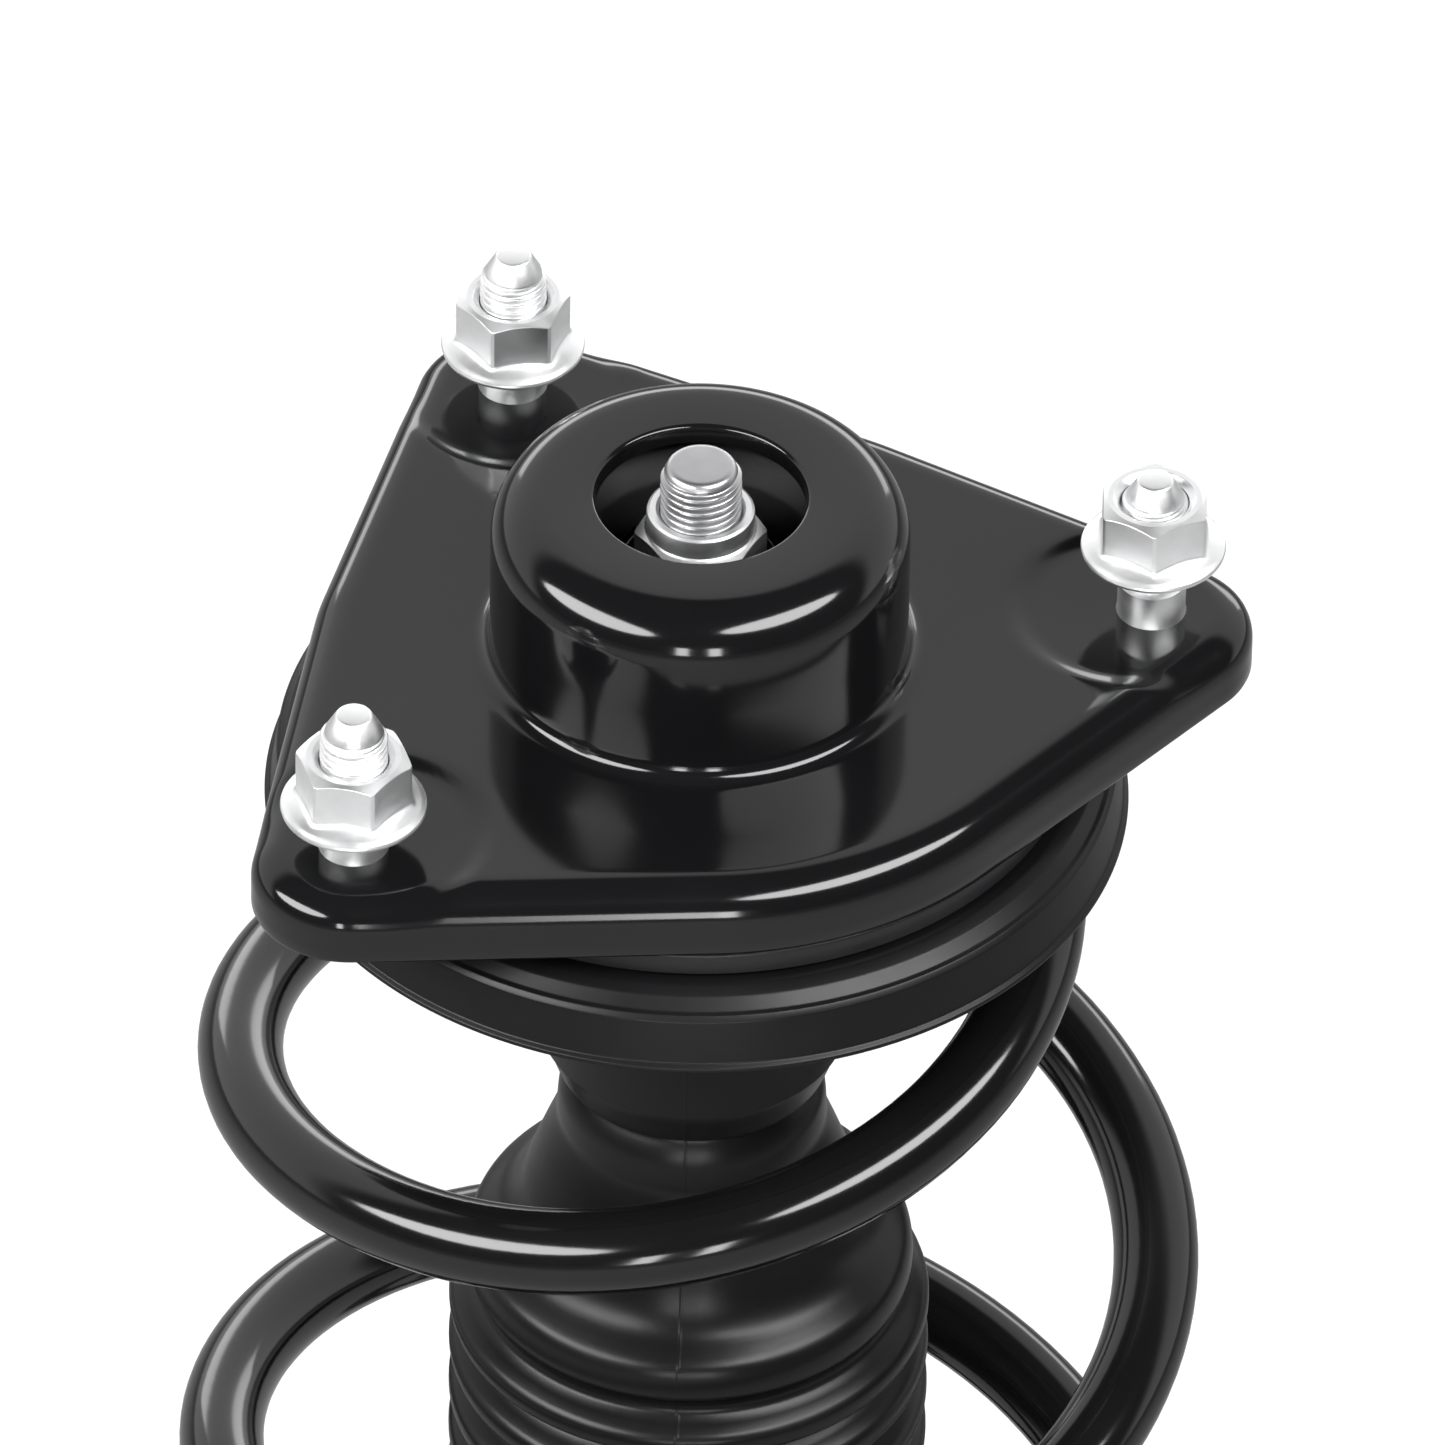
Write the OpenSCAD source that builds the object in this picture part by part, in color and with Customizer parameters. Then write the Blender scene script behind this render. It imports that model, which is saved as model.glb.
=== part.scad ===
// Loaded suspension strut: top mount with three studs, strut bearing, spring seat,
// coil spring, dust boot, bump stop and twin-tube damper with its brackets.
// The strut axis is Z. z = 0 is the plane of the mounting plate's field, where the mount meets the car.

/* [Mounting plate] */
// Radius of the plate's round middle
plate_r = 57; // [54:0.5:60]
// Radius of the plate's ears round the studs
corner_r = 14.8; // [13.5:0.1:17]
// Distance of each ear's centre outside its stud
ear_out = 0.8; // [0:0.1:2]
// Radius of the waist that the ears spring from
waist_r = 54; // [52:0.1:56]
// Distance from the strut axis to the rear stud
rear_stud_y = 66.6; // [62:0.1:72]
// Sideways offset of the rear stud
rear_stud_dx = 1; // [-2:0.1:2]
// Distance between the two front studs
front_stud_dx = 128; // [120:0.5:136]
// Distance from the strut axis to the line of the front studs
front_stud_back = 19.2; // [15:0.1:24]
// Thickness of the pressed plate
plate_t = 3; // [2.5:0.1:3.5]
// Radius of the plate's rolled edge
plate_edge = 6; // [5:0.1:7.5]
// Height from the plate's field down to its rim
plate_drop = 11; // [10:0.1:11.4]
// Depth of the ears below the plate's round field
ear_drop = 0.8; // [0.5:0.1:1.4]

/* [Hub] */
// Outer radius of the hub that fits the car's tower
hub_r = 30.5; // [29:0.1:33]
// Height of the hub above the plate's field
hub_h = 28.2; // [26:0.1:32]
// Radius of the hub's rounded top edge
hub_round = 8; // [6:0.1:12]
// Radius of the hole in the hub's top
hub_hole_r = 15.4; // [14.5:0.1:16.5]
// Fillet where the hub rises from the plate
hub_fillet = 2.8; // [1:0.1:3.5]

/* [Studs and nuts] */
// Radius of the studs' smooth shank
stud_r = 5; // [4.9:0.05:5.5]
// Height of the studs above the ears
stud_h = 24.3; // [22:0.1:28]
// Pitch radius of the studs' thread
stud_thread_r = 4.6; // [4.4:0.05:4.75]
// Height of the smooth shank above the ear
shank_h = 6.4; // [5:0.1:6.5]
// Radius of the knurl pressed into the plate
knurl_r = 5.3; // [5.25:0.05:5.7]
// Radius of the stud's head under the plate
stud_head_r = 8.6; // [7.5:0.1:10]
// Thickness of the stud's head
stud_head_t = 2.5; // [2:0.1:3]
// Width across the flats of the flange nuts
nut_af = 15; // [14:0.1:16]
// Height of the flange nuts
nut_h = 10; // [9:0.1:11]
// Radius of the nut's flange
nut_flange_r = 10.6; // [10:0.1:11.5]
// Height of two nuts above the ears
nut_low_z = 6.7; // [6.6:0.1:8]
// Height of the right-hand nut above its ear
nut_high_z = 11; // [8:0.1:12]

/* [Rubber mount] */
// Outer radius of the steel core
core_r = 8.5; // [8:0.1:10]
// Length of the steel core
core_len = 22.6; // [20:0.1:23]
// Height of the core's top above the plate's field
core_top_z = 10.6; // [9:0.1:11]
// Radius of the dished washer on the core
top_washer_r = 13; // [11:0.1:14]
// Thickness of the dished washer
top_washer_t = 3; // [2:0.1:3.5]
// Thickness of the pressing that closes the mount below
closing_t = 2; // [1.6:0.1:2.4]
// Radius of the hole in that pressing
closing_bore_r = 20; // [19.5:0.1:21]
// Depth of the ring on it that pilots the bearing
pilot_h = 6; // [5:0.1:6.5]
// Thickness of the rebound washer under the core
rebound_washer_t = 2.5; // [2:0.1:3]
// Radius of the rebound washer
rebound_washer_r = 21; // [19.5:0.1:22]

/* [Bearing] */
// Radius of the bearing balls
ball_r = 3.5; // [3:0.1:3.6]
// Radius of the circle that the balls run on
ball_ring_r = 43; // [40:0.1:44]
// Number of balls
ball_count = 28; // [20:1:30]
// Thickness of the upper race behind the balls
upper_back = 5.8; // [5.5:0.1:6.2]
// Thickness of the lower race behind the balls
lower_back = 3.3; // [2.8:0.1:3.5]
// Outer radius of the upper race's dust skirt
skirt_r = 55.6; // [54:0.1:57]

/* [Upper spring seat] */
// Radius of the seat's rim
seat_rim_r = 63.3; // [62.5:0.1:66]
// Height that the seat's skirt drops below its ledge
seat_skirt = 11.6; // [9.5:0.1:13]
// Thickness of the pressed seat
seat_t = 2.5; // [2:0.1:3]
// Height of the ledge above the seat's floor
seat_ledge = 4.5; // [4:0.1:5]
// Depth of the seat's collar
collar_h = 10; // [8:0.5:12]
// Thickness of the rubber insulator over the coil
insulator_t = 10; // [8:0.1:13]

/* [Coil spring] */
// Diameter of the spring wire
wire_d = 12.7; // [11:0.1:13.5]
// Radius of the coils at the wire's centre
coil_r = 70; // [68:0.1:71.5]
// Radius of the first coil below the upper seat, as it widens
upper_coil_r = 66.7; // [65:0.1:68]
// Radius of the top end coil
top_coil_r = 49.7; // [48.8:0.1:53]
// Radius of the bottom end coil
bottom_coil_r = 60; // [58:0.1:62]
// Rise of one active turn
spring_pitch = 77.6; // [70:0.1:85]
// Number of active turns
active_turns = 3.6; // [3.3:0.05:3.9]
// Angle of the flat end coil on the upper seat
top_end_angle = 180; // [150:5:270]
// Angle of the flat end coil on the lower seat
bottom_end_angle = 230; // [180:5:270]
// Angle at which the wire leaves the upper seat
spring_start = -31; // [-90:1:90]

/* [Dust boot and bump stop] */
// Outer radius of the boot's ribs
boot_r = 35.9; // [34:0.1:38]
// Depth of the boot's ribs
rib_depth = 4; // [2:0.1:4.5]
// Distance between the boot's ribs
rib_pitch = 8.8; // [7:0.1:11]
// Thickness of the boot
boot_wall = 1.2; // [0.8:0.1:1.4]
// Outer radius of the boot's neck
boot_neck_r = 20.5; // [20.3:0.1:21.5]
// Length of the bump stop
bump_len = 90; // [80:1:96]

/* [Damper] */
// Radius of the piston rod
rod_r = 11; // [10:0.1:11.5]
// Radius of the rod's neck in the core
rod_neck_r = 6; // [5.8:0.1:6.2]
// Pitch radius of the rod's top thread
rod_thread_r = 5.6; // [5.4:0.05:5.7]
// Height that the rod stands above the hub
rod_proud = 5.5; // [3:0.1:8]
// Width across the flats of the rod nut
rod_nut_af = 17; // [16:0.1:18]
// Height of the rod nut with its collar
rod_nut_h = 12; // [10:0.1:13]
// Outer radius of the strut tube
tube_r = 25.5; // [25:0.1:27]
// Wall of the strut tube
tube_wall = 2.3; // [2:0.1:2.8]
// Bore radius of the pressure tube
bore_r = 16; // [15.5:0.1:17.5]
// Wall of the pressure tube
pressure_wall = 1.5; // [1.2:0.1:2]
// Travel left between the strut's cap and the bump stop
free_travel = 131.5; // [127:0.5:135]
// Length of the strut tube below the lower spring seat
tube_below_seat = 243; // [230:1:260]
// Depth of the base cup inside the tube
base_cup_h = 10; // [8:0.5:12]

/* [Lower spring seat] */
// Radius of the lower seat's rim
lower_rim_r = 80.5; // [79:0.1:84]
// Thickness of the lower seat
lower_seat_t = 3; // [2.5:0.1:3.5]
// Depth of its collar round the tube
lower_collar_h = 18; // [14:0.5:22]
// Thickness of the rubber pad on it
lower_pad_t = 4; // [3:0.1:6]

/* [Brackets] */
// Height of the knuckle bracket
bracket_h = 104; // [96:1:115]
// Thickness of the bracket's cheeks
cheek_t = 4; // [3.5:0.1:5]
// Distance from the strut axis to the knuckle bolts
bolt_reach = 58; // [52:0.5:62]
// Distance between the knuckle bolts
bolt_spacing = 56; // [48:1:62]
// Radius of the knuckle bolt holes
bolt_hole_r = 7; // [6:0.1:8]
// Margin of cheek round the bolt holes
cheek_margin = 16; // [13:0.5:20]
// Distance from the strut axis to the link hole
link_reach = 50; // [44:0.5:56]
// Radius of the link hole
link_hole_r = 6; // [5:0.1:6.5]
// Thickness of the link bracket
link_t = 5; // [4:0.1:6]
// Height of the link bracket's saddle on the tube
link_saddle_h = 40; // [36:1:46]
// Width of the link bracket's saddle
link_saddle_w = 30; // [24:1:36]
// Distance of the link hole below the lower spring seat
link_drop = 66; // [55:1:75]
// Radius of the hole for the hose clip
hose_hole_r = 5; // [4:0.1:6]
// Distance of the hose bracket below the lower spring seat
hose_drop = 100; // [92:1:108]

/* [Hidden] */
$fn = 96;

// Clearances
press_gap = 0.02;   // parts pressed or bonded together
slide_gap = 0.03;   // running fits of the rod and the piston
seat_gap = 0.3;     // soft parts and parts that turn past each other

// Studs of the top mount: place of each one
STUDS = [
  [rear_stud_dx, rear_stud_y],
  [front_stud_dx / 2, -front_stud_back],
  [-front_stud_dx / 2, -front_stud_back]
];
NUT_Z = [nut_low_z, nut_high_z, nut_low_z];

// Heights from the plate's field down to the coil
plate_under = -plate_t;
closing_under = plate_under - closing_t;
ball_z = closing_under - upper_back - ball_r;
closing_r = plate_r - 7;
race_r = ball_ring_r + 5;
pocket_r = race_r + 0.4;
ledge_r = pocket_r + 2.2;
skirt_top = -plate_drop - 0.9;
seat_floor = ball_z - ball_r - lower_back + 0.2;
ledge_z = seat_floor + seat_ledge;
rim_z = ledge_z - seat_skirt;
insulator_top = seat_floor - seat_t;
insulator_under = insulator_top - insulator_t;
wire_r = wire_d / 2;
spring_top = insulator_under - wire_r - seat_gap;
core_under = core_top_z - core_len;

// Bump stop, cup and boot
cup_t = 2;
cup_r = 20.9;
cup_wall = 1.5;
cup_depth = 19.5;
rod_shoulder = core_under - rebound_washer_t - cup_t;
bump_top = rod_shoulder - press_gap;
bump_under = bump_top - bump_len;
neck_gap = 0.4;
neck_waist = 0.9;
bump_r = boot_neck_r - neck_waist - boot_wall - neck_gap;
collar_r = 24;
boot_flange_t = 1.4;
boot_flange_r = 29;
boot_waist_z = seat_floor - 64.6;

// Spring: angle phi runs down the wire from where it leaves the top seat
active_angle = 360 * active_turns;
ramp_angle = 28;
grow_from = -30;
grow_to = 120;
widen_to = 420;
rings_per_turn = 24;
wire_sides = 6;
spring_bottom = spring_top - spring_pitch * active_turns;

// Damper
cap_top = bump_under - free_travel;
cap_t = 1.5;
cap_depth = 18;
tube_top = cap_top - cap_t - press_gap;
lower_pad_top = spring_bottom - wire_r - seat_gap;
lower_floor = lower_pad_top - lower_pad_t;
lower_flat_r = lower_rim_r - lower_seat_t - 3;
stop_angle = 8;
tube_bottom = lower_floor - tube_below_seat;
tube_in_r = tube_r - tube_wall;
crimp_t = 2.3;
seal_top = tube_top - crimp_t - press_gap;
seal_t = 4.6;
guide_top = seal_top - seal_t - press_gap;
guide_head = 10;
guide_nose = 8;
guide_under = guide_top - guide_head - guide_nose;
bush_wall = 1.5;
stop_top = guide_under - seat_gap;
stop_h = 8;
piston_rod_end = stop_top - stop_h - 17;
spigot_r = 7;
disc_t = 2;
piston_h = 26;
piston_nut_h = 8;
piston_top = piston_rod_end - disc_t;
piston_under = piston_top - piston_h;
base_top = tube_bottom + 17;
pressure_top = guide_top - guide_head - press_gap;

// Brackets: the cheeks run on from the band round the tube, as wide apart as the tube
cheek_x = tube_r;
bracket_gap = 2 * cheek_x;
bracket_top = tube_bottom + bracket_h;
bolt_low_z = tube_bottom + (bracket_h - bolt_spacing) / 2;
cheek_end = bolt_reach + cheek_margin;
scallop_r = 30;
scallop_depth = 7;
rib_r = 4;
link_z = lower_floor - link_drop;
hose_z = lower_floor - hose_drop;

BLACK = [0.05, 0.05, 0.055];
RUBBER = [0.09, 0.09, 0.09];
PLASTIC = [0.11, 0.11, 0.12];
ZINC = [0.82, 0.83, 0.84];
STEEL = [0.55, 0.56, 0.58];
BRONZE = [0.6, 0.5, 0.32];
FOAM = [0.85, 0.78, 0.55];

// A ring or solid turned about the strut axis from its half profile
module turned(points) {
  rotate_extrude() polygon(points);
}

// Children at each stud of the top mount, or that far outside it
module at_studs(out = 0) {
  for (place = STUDS) translate(place * (1 + out / norm(place))) children();
}

// Half profile of a disc whose top edge is rolled over
module rolled_profile(r, edge, top, bottom) {
  translate([0, bottom]) square([r, top - edge - bottom]);
  translate([0, bottom]) square([r - edge, top - bottom]);
  translate([r - edge, top - edge]) intersection() {
    square(edge);
    circle(edge);
  }
}

// The same disc with few sides, as a hull's corner
module rolled_disc(r, edge, top, bottom) {
  rotate_extrude($fn = 32) polygon(concat(
    [[0, bottom], [r, bottom]],
    [for (k = [0:5]) [r - edge + edge * cos(18 * k), top - edge + edge * sin(18 * k)]],
    [[0, top]]
  ));
}

// The plate's form drawn in by inset: a round pan, and ears that stand out a little lower
module plate_form(top, bottom, inset) {
  edge = plate_edge - inset;
  rotate_extrude() rolled_profile(plate_r - inset, edge, top, bottom);
  hull() {
    rolled_disc(waist_r - inset, edge, top - ear_drop, bottom);
    at_studs(ear_out) rolled_disc(corner_r - inset, edge, top - ear_drop, bottom);
  }
}

module mount_plate() color(BLACK) difference() {
  union() {
    plate_form(0, -plate_drop, 0);
    rotate_extrude() rolled_profile(hub_r, hub_round, hub_h, -1);
    rotate_extrude() difference() {
      translate([hub_r - 1, -1]) square(hub_fillet + 1);
      translate([hub_r + hub_fillet, hub_fillet]) circle(hub_fillet);
    }
  }
  plate_form(plate_under, -plate_drop - 1, plate_t);
  rotate_extrude() rolled_profile(hub_r - plate_t, hub_round - plate_t, hub_h - plate_t, plate_under - 1);
  cylinder(h = hub_h + 1, r = hub_hole_r);
  at_studs() translate([0, 0, plate_under - 2]) cylinder(h = plate_t + 3, r = knurl_r + press_gap);
}

// Pressed stud: head, knurl, shank, thread at its pitch radius and tapered tip
module stud() {
  head_z = -plate_t - press_gap;
  turned([
    [0, head_z - stud_head_t], [stud_head_r - 0.5, head_z - stud_head_t],
    [stud_head_r, head_z - stud_head_t + 0.5], [stud_head_r, head_z],
    [knurl_r, head_z], [knurl_r, 0], [stud_r, 0], [stud_r, shank_h],
    [stud_thread_r, shank_h], [stud_thread_r, stud_h - 3.4],
    [2.6, stud_h], [0, stud_h]
  ]);
}

module mount_studs() color(ZINC) translate([0, 0, -ear_drop]) at_studs() stud();

// Hexagonal prism across flats af with its top corners turned off
module hex_body(af, h) {
  corner = af / sqrt(3);
  intersection() {
    cylinder(h = h, r = corner, $fn = 6);
    turned([[0, -1], [corner + 1, -1], [corner + 1, h - 1.6], [af / 2 - 0.4, h], [0, h]]);
  }
}

module flange_nut() {
  difference() {
    union() {
      hex_body(nut_af, nut_h);
      turned([
        [0, 0], [nut_flange_r - 0.3, 0], [nut_flange_r, 0.4], [nut_flange_r, 1.3],
        [nut_af / 2 + 1.1, 2.6], [nut_af / 2 - 0.4, 3.6], [0, 3.6]
      ]);
    }
    translate([0, 0, -1]) cylinder(h = nut_h + 2, r = stud_thread_r + press_gap);
    translate([0, 0, nut_h - 0.8]) cylinder(h = 1, r1 = stud_thread_r, r2 = stud_thread_r + 1);
  }
}

module flange_nuts() color(ZINC) {
  for (k = [0:2]) translate([STUDS[k].x, STUDS[k].y, NUT_Z[k] - ear_drop]) rotate(14 + 20 * k) flange_nut();
}

// Pressing that closes the mount below and pilots the bearing
pilot_r = 31.5;
module closing_plate() color(BLACK) turned([
  [closing_bore_r, plate_under - press_gap], [closing_r, plate_under - press_gap],
  [closing_r, closing_under], [pilot_r, closing_under], [pilot_r, closing_under - pilot_h],
  [pilot_r - closing_t, closing_under - pilot_h], [pilot_r - closing_t, closing_under],
  [closing_bore_r, closing_under]
]);

module rubber_bush() color(RUBBER) {
  r = hub_r - plate_t - press_gap;
  top = hub_h - hub_round;
  turned([
    [core_r + press_gap, core_under + 2], [17, core_under + 2], [18.8, core_under + 4],
    [18.8, plate_under + 0.1], [r, plate_under + 0.1], [r, top - 2], [r - 2.5, top],
    [21, top + 1], [17, top - 3], [top_washer_r + 1, core_top_z - 0.5],
    [core_r + press_gap, core_top_z - 1.5]
  ]);
}

module core_sleeve() color(STEEL) turned([
  [rod_neck_r + press_gap, core_under], [core_r, core_under],
  [core_r, core_top_z], [rod_neck_r + press_gap, core_top_z]
]);

module top_washer() color(STEEL) turned([
  [rod_neck_r + press_gap, core_top_z], [top_washer_r - 1.5, core_top_z],
  [top_washer_r, core_top_z + 1.5], [top_washer_r, core_top_z + top_washer_t + 1.5],
  [top_washer_r - 1.6, core_top_z + top_washer_t + 1.5],
  [top_washer_r - 2.6, core_top_z + top_washer_t], [rod_neck_r + press_gap, core_top_z + top_washer_t]
]);

rod_nut_z = core_top_z + top_washer_t;
rod_nut_collar_r = 7.9;
module rod_nut() color(ZINC) translate([0, 0, rod_nut_z]) difference() {
  union() {
    rotate(7) hex_body(rod_nut_af, rod_nut_h - 3.5);
    turned([
      [0, 0], [rod_nut_collar_r, 0], [rod_nut_collar_r, rod_nut_h - 0.8],
      [rod_nut_collar_r - 0.8, rod_nut_h], [0, rod_nut_h]
    ]);
  }
  translate([0, 0, -1]) cylinder(h = rod_nut_h + 2, r = rod_thread_r + press_gap);
}

module piston_rod() color(STEEL) {
  tip = hub_h + rod_proud;
  turned([
    [0, tip], [rod_thread_r - 1.2, tip], [rod_thread_r, tip - 1.2],
    [rod_thread_r, rod_nut_z - press_gap], [rod_neck_r, rod_nut_z - 0.4],
    [rod_neck_r, rod_shoulder], [rod_r - 1, rod_shoulder], [rod_r, rod_shoulder - 1],
    [rod_r, piston_rod_end], [spigot_r, piston_rod_end],
    [spigot_r, piston_under - disc_t - piston_nut_h - 2], [0, piston_under - disc_t - piston_nut_h - 2]
  ]);
}

module rebound_washer() color(STEEL) turned([
  [rod_neck_r + press_gap, core_under - rebound_washer_t], [rebound_washer_r, core_under - rebound_washer_t],
  [rebound_washer_r, core_under - 0.8], [rebound_washer_r - 0.8, core_under],
  [rod_neck_r + press_gap, core_under]
]);

module bump_stop_cup() color(BLACK) {
  top = core_under - rebound_washer_t;
  turned([
    [rod_neck_r + press_gap, top], [cup_r - 1, top], [cup_r, top - 1], [cup_r, top - cup_depth],
    [cup_r - cup_wall, top - cup_depth], [cup_r - cup_wall, top - cup_t],
    [rod_neck_r + press_gap, top - cup_t]
  ]);
}

module bump_stop() color(FOAM) {
  r = cup_r - cup_wall - press_gap;
  bore = rod_r + seat_gap;
  cup_end = bump_top - cup_depth;
  turned([
    [bore, bump_top], [r, bump_top], [r, cup_end], [bump_r, cup_end - 2],
    [bump_r, bump_under + 40], [bump_r - 2.5, bump_under + 36], [bump_r, bump_under + 32],
    [bump_r, bump_under + 24], [bump_r - 3, bump_under + 19], [bump_r - 1, bump_under + 14],
    [bump_r - 1, bump_under + 10], [bump_r - 4, bump_under + 4], [bump_r - 5, bump_under],
    [bore, bump_under]
  ]);
}

// Groove of the ball track in a race: ball circle a little larger than the balls
module ball_track() {
  rotate_extrude() translate([ball_ring_r, ball_z]) circle(ball_r + press_gap);
}

race_in_r = pilot_r + press_gap;
race_split = 1.2;
skirt_in_r = race_r + 0.68 * (skirt_r - race_r);
module bearing_upper_race() color(PLASTIC) difference() {
  turned([
    [race_in_r, closing_under], [race_r - 1, closing_under], [race_r, closing_under - 1],
    [race_r, skirt_top], [skirt_r - 0.6, skirt_top], [skirt_r, skirt_top - 0.6],
    [skirt_r, ledge_z + 0.6], [skirt_in_r, ledge_z + 0.6], [skirt_in_r, ball_z + race_split],
    [race_in_r, ball_z + race_split]
  ]);
  ball_track();
}

module bearing_balls() color(STEEL) {
  for (k = [1:ball_count]) rotate(360 * k / ball_count) translate([ball_ring_r, 0, ball_z]) sphere(ball_r);
}

module ball_cage() color(PLASTIC) difference() {
  turned([
    [ball_ring_r - 5, ball_z - 0.6], [ball_ring_r + 5, ball_z - 0.6],
    [ball_ring_r + 5, ball_z + 0.6], [ball_ring_r - 5, ball_z + 0.6]
  ]);
  for (k = [1:ball_count]) rotate(360 * k / ball_count) translate([ball_ring_r, 0, ball_z - 2])
    cylinder(h = 4, r = ball_r + 0.1);
}

module bearing_lower_race() color(PLASTIC) difference() {
  turned([
    [race_in_r + 1.5, seat_floor], [race_r, seat_floor], [race_r, ball_z - race_split],
    [race_in_r + 1.5, ball_z - race_split]
  ]);
  rotate_extrude() translate([ball_ring_r, ball_z]) circle(ball_r + 0.05);
}

// Radius on the seat's flange, as a share of the way from the bearing pocket to the rim
function flange_r(share) = ledge_r + share * (seat_rim_r - ledge_r);

module upper_spring_seat() color(BLACK) turned([
  [collar_r, seat_floor - collar_h], [collar_r, seat_floor], [pocket_r, seat_floor],
  [ledge_r, ledge_z], [flange_r(0.5), ledge_z], [flange_r(0.62), ledge_z - 0.8],
  [flange_r(0.76), ledge_z - 2.4], [flange_r(0.81), ledge_z - 2.6], [flange_r(0.86), ledge_z - 3.4],
  [seat_rim_r - 0.7, rim_z + 1.2], [seat_rim_r, rim_z + 0.7], [seat_rim_r, rim_z],
  [flange_r(0.85), rim_z], [flange_r(0.68), ledge_z - 4], [flange_r(0.56), ledge_z - 3],
  [flange_r(0.45), ledge_z - seat_t], [flange_r(0.14), ledge_z - seat_t],
  [pocket_r + 1.2, insulator_top], [collar_r + seat_t, insulator_top],
  [collar_r + seat_t, seat_floor - collar_h]
]);

module upper_insulator() color(RUBBER) {
  lip_r = top_coil_r - wire_r - 0.7;
  turned([
    [collar_r + seat_t + press_gap, insulator_top], [pocket_r + 1.35, insulator_top],
    [flange_r(0.14) + 0.15, ledge_z - seat_t - 0.05], [flange_r(0.44), ledge_z - seat_t - 0.05],
    [flange_r(0.54), ledge_z - 3.1], [flange_r(0.66), ledge_z - 4], [flange_r(0.72), rim_z - 1.5],
    [flange_r(0.66), rim_z - 3], [flange_r(0.48), insulator_under], [lip_r + 0.4, insulator_under],
    [lip_r, insulator_under - 0.6], [lip_r, insulator_under - 6], [lip_r - 2, insulator_under - 8],
    [lip_r - 6, insulator_under - 8], [lip_r - 9, insulator_under],
    [collar_r + seat_t + press_gap, insulator_under + 2]
  ]);
}

// Half profile of the boot's outside, drawn in by inset, from the flange down
boot_low = lower_floor + 30;
rib_top = boot_waist_z - 36;
rib_count = floor((rib_top - boot_low - 14) / rib_pitch);
collar_top = rib_top - rib_count * rib_pitch;
function shoulder_r(share) = boot_neck_r + share * (boot_r - boot_neck_r);
function boot_outline(inset) = concat(
  [
    [collar_r - seat_gap - inset, boot_waist_z + 16.5], [collar_r - 0.8 - inset, boot_waist_z + 13.5],
    [boot_neck_r + 1.5 - inset, boot_waist_z + 10.5], [boot_neck_r + 0.3 - inset, boot_waist_z + 7.5],
    [boot_neck_r - 0.5 - inset, boot_waist_z + 4.5], [boot_neck_r - neck_waist - inset, boot_waist_z + 1.5],
    [boot_neck_r - neck_waist - inset, boot_waist_z - 1.5], [boot_neck_r - 0.3 - inset, boot_waist_z - 4.5],
    [boot_neck_r - inset, boot_waist_z - 7.5], [shoulder_r(0.03) - inset, boot_waist_z - 10.5],
    [shoulder_r(0.07) - inset, boot_waist_z - 13], [shoulder_r(0.15) - inset, boot_waist_z - 15.7],
    [shoulder_r(0.3) - inset, boot_waist_z - 19.2], [shoulder_r(0.46) - inset, boot_waist_z - 22.5],
    [shoulder_r(0.62) - inset, boot_waist_z - 25.5], [shoulder_r(0.75) - inset, boot_waist_z - 27.8],
    [shoulder_r(0.82) - inset, boot_waist_z - 29.5], [shoulder_r(0.83) - inset, boot_waist_z - 31.3],
    [shoulder_r(0.765) - inset, boot_waist_z - 32.7]
  ],
  [for (k = [0:rib_count - 1], s = [0:5]) let (drop = rib_top - rib_pitch * (k + s / 6))
    [boot_r - rib_depth * pow(cos(30 * s), 4) - inset, drop]],
  [
    [boot_r - rib_depth - inset, collar_top], [boot_r - rib_depth - inset, collar_top - 2],
    [tube_r + seat_gap + boot_wall - inset, collar_top - 5], [tube_r + seat_gap + boot_wall - inset, boot_low]
  ]
);

module dust_boot() color(PLASTIC) difference() {
  turned(concat(
    [[0, boot_low], [0, seat_floor + boot_flange_t], [boot_flange_r, seat_floor + boot_flange_t],
     [boot_flange_r, seat_floor], [collar_r - seat_gap, seat_floor]],
    boot_outline(0)
  ));
  turned(concat(
    [[0, boot_low - 1], [0, seat_floor + 3], [collar_r - seat_gap - boot_wall, seat_floor + 3]],
    boot_outline(boot_wall),
    [[tube_r + seat_gap, boot_low - 1]]
  ));
}

// Angle travelled at full pitch: flat before the ramp, straight after it
function ramp(phi) =
  phi < -ramp_angle ? 0 : phi > ramp_angle ? phi : pow(phi + ramp_angle, 2) / (4 * ramp_angle);

// Smooth step from 0 to 1 between two angles
function ease(phi, from, to) =
  let (share = min(1, max(0, (phi - from) / (to - from)))) (1 - cos(180 * share)) / 2;

function wire_radius_at(phi) = top_coil_r
  + (upper_coil_r - top_coil_r) * ease(phi, grow_from, grow_to)
  + (coil_r - upper_coil_r) * ease(phi, grow_to, widen_to)
  + (bottom_coil_r - coil_r) * ease(phi, active_angle - grow_to, active_angle - grow_from);

function wire_z_at(phi) =
  spring_top - spring_pitch / 360 * (ramp(phi) - ramp(phi - active_angle));

function wire_point(phi) = let (r = wire_radius_at(phi), a = spring_start - phi)
  [r * cos(a), r * sin(a), wire_z_at(phi)];

function unit(v) = v / norm(v);

// One ring of the wire, square to its path; a flat faces the seats
function wire_ring(phi) =
  let (
    centre = wire_point(phi),
    along = unit(wire_point(phi + 0.5) - wire_point(phi - 0.5)),
    out = [cos(spring_start - phi), sin(spring_start - phi), 0],
    side = unit(out - (out * along) * along),
    up = cross(side, along)
  )
  [for (k = [0:wire_sides - 1]) let (a = 360 * k / wire_sides)
    centre + wire_r * (cos(a) * side + sin(a) * up)];

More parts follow.
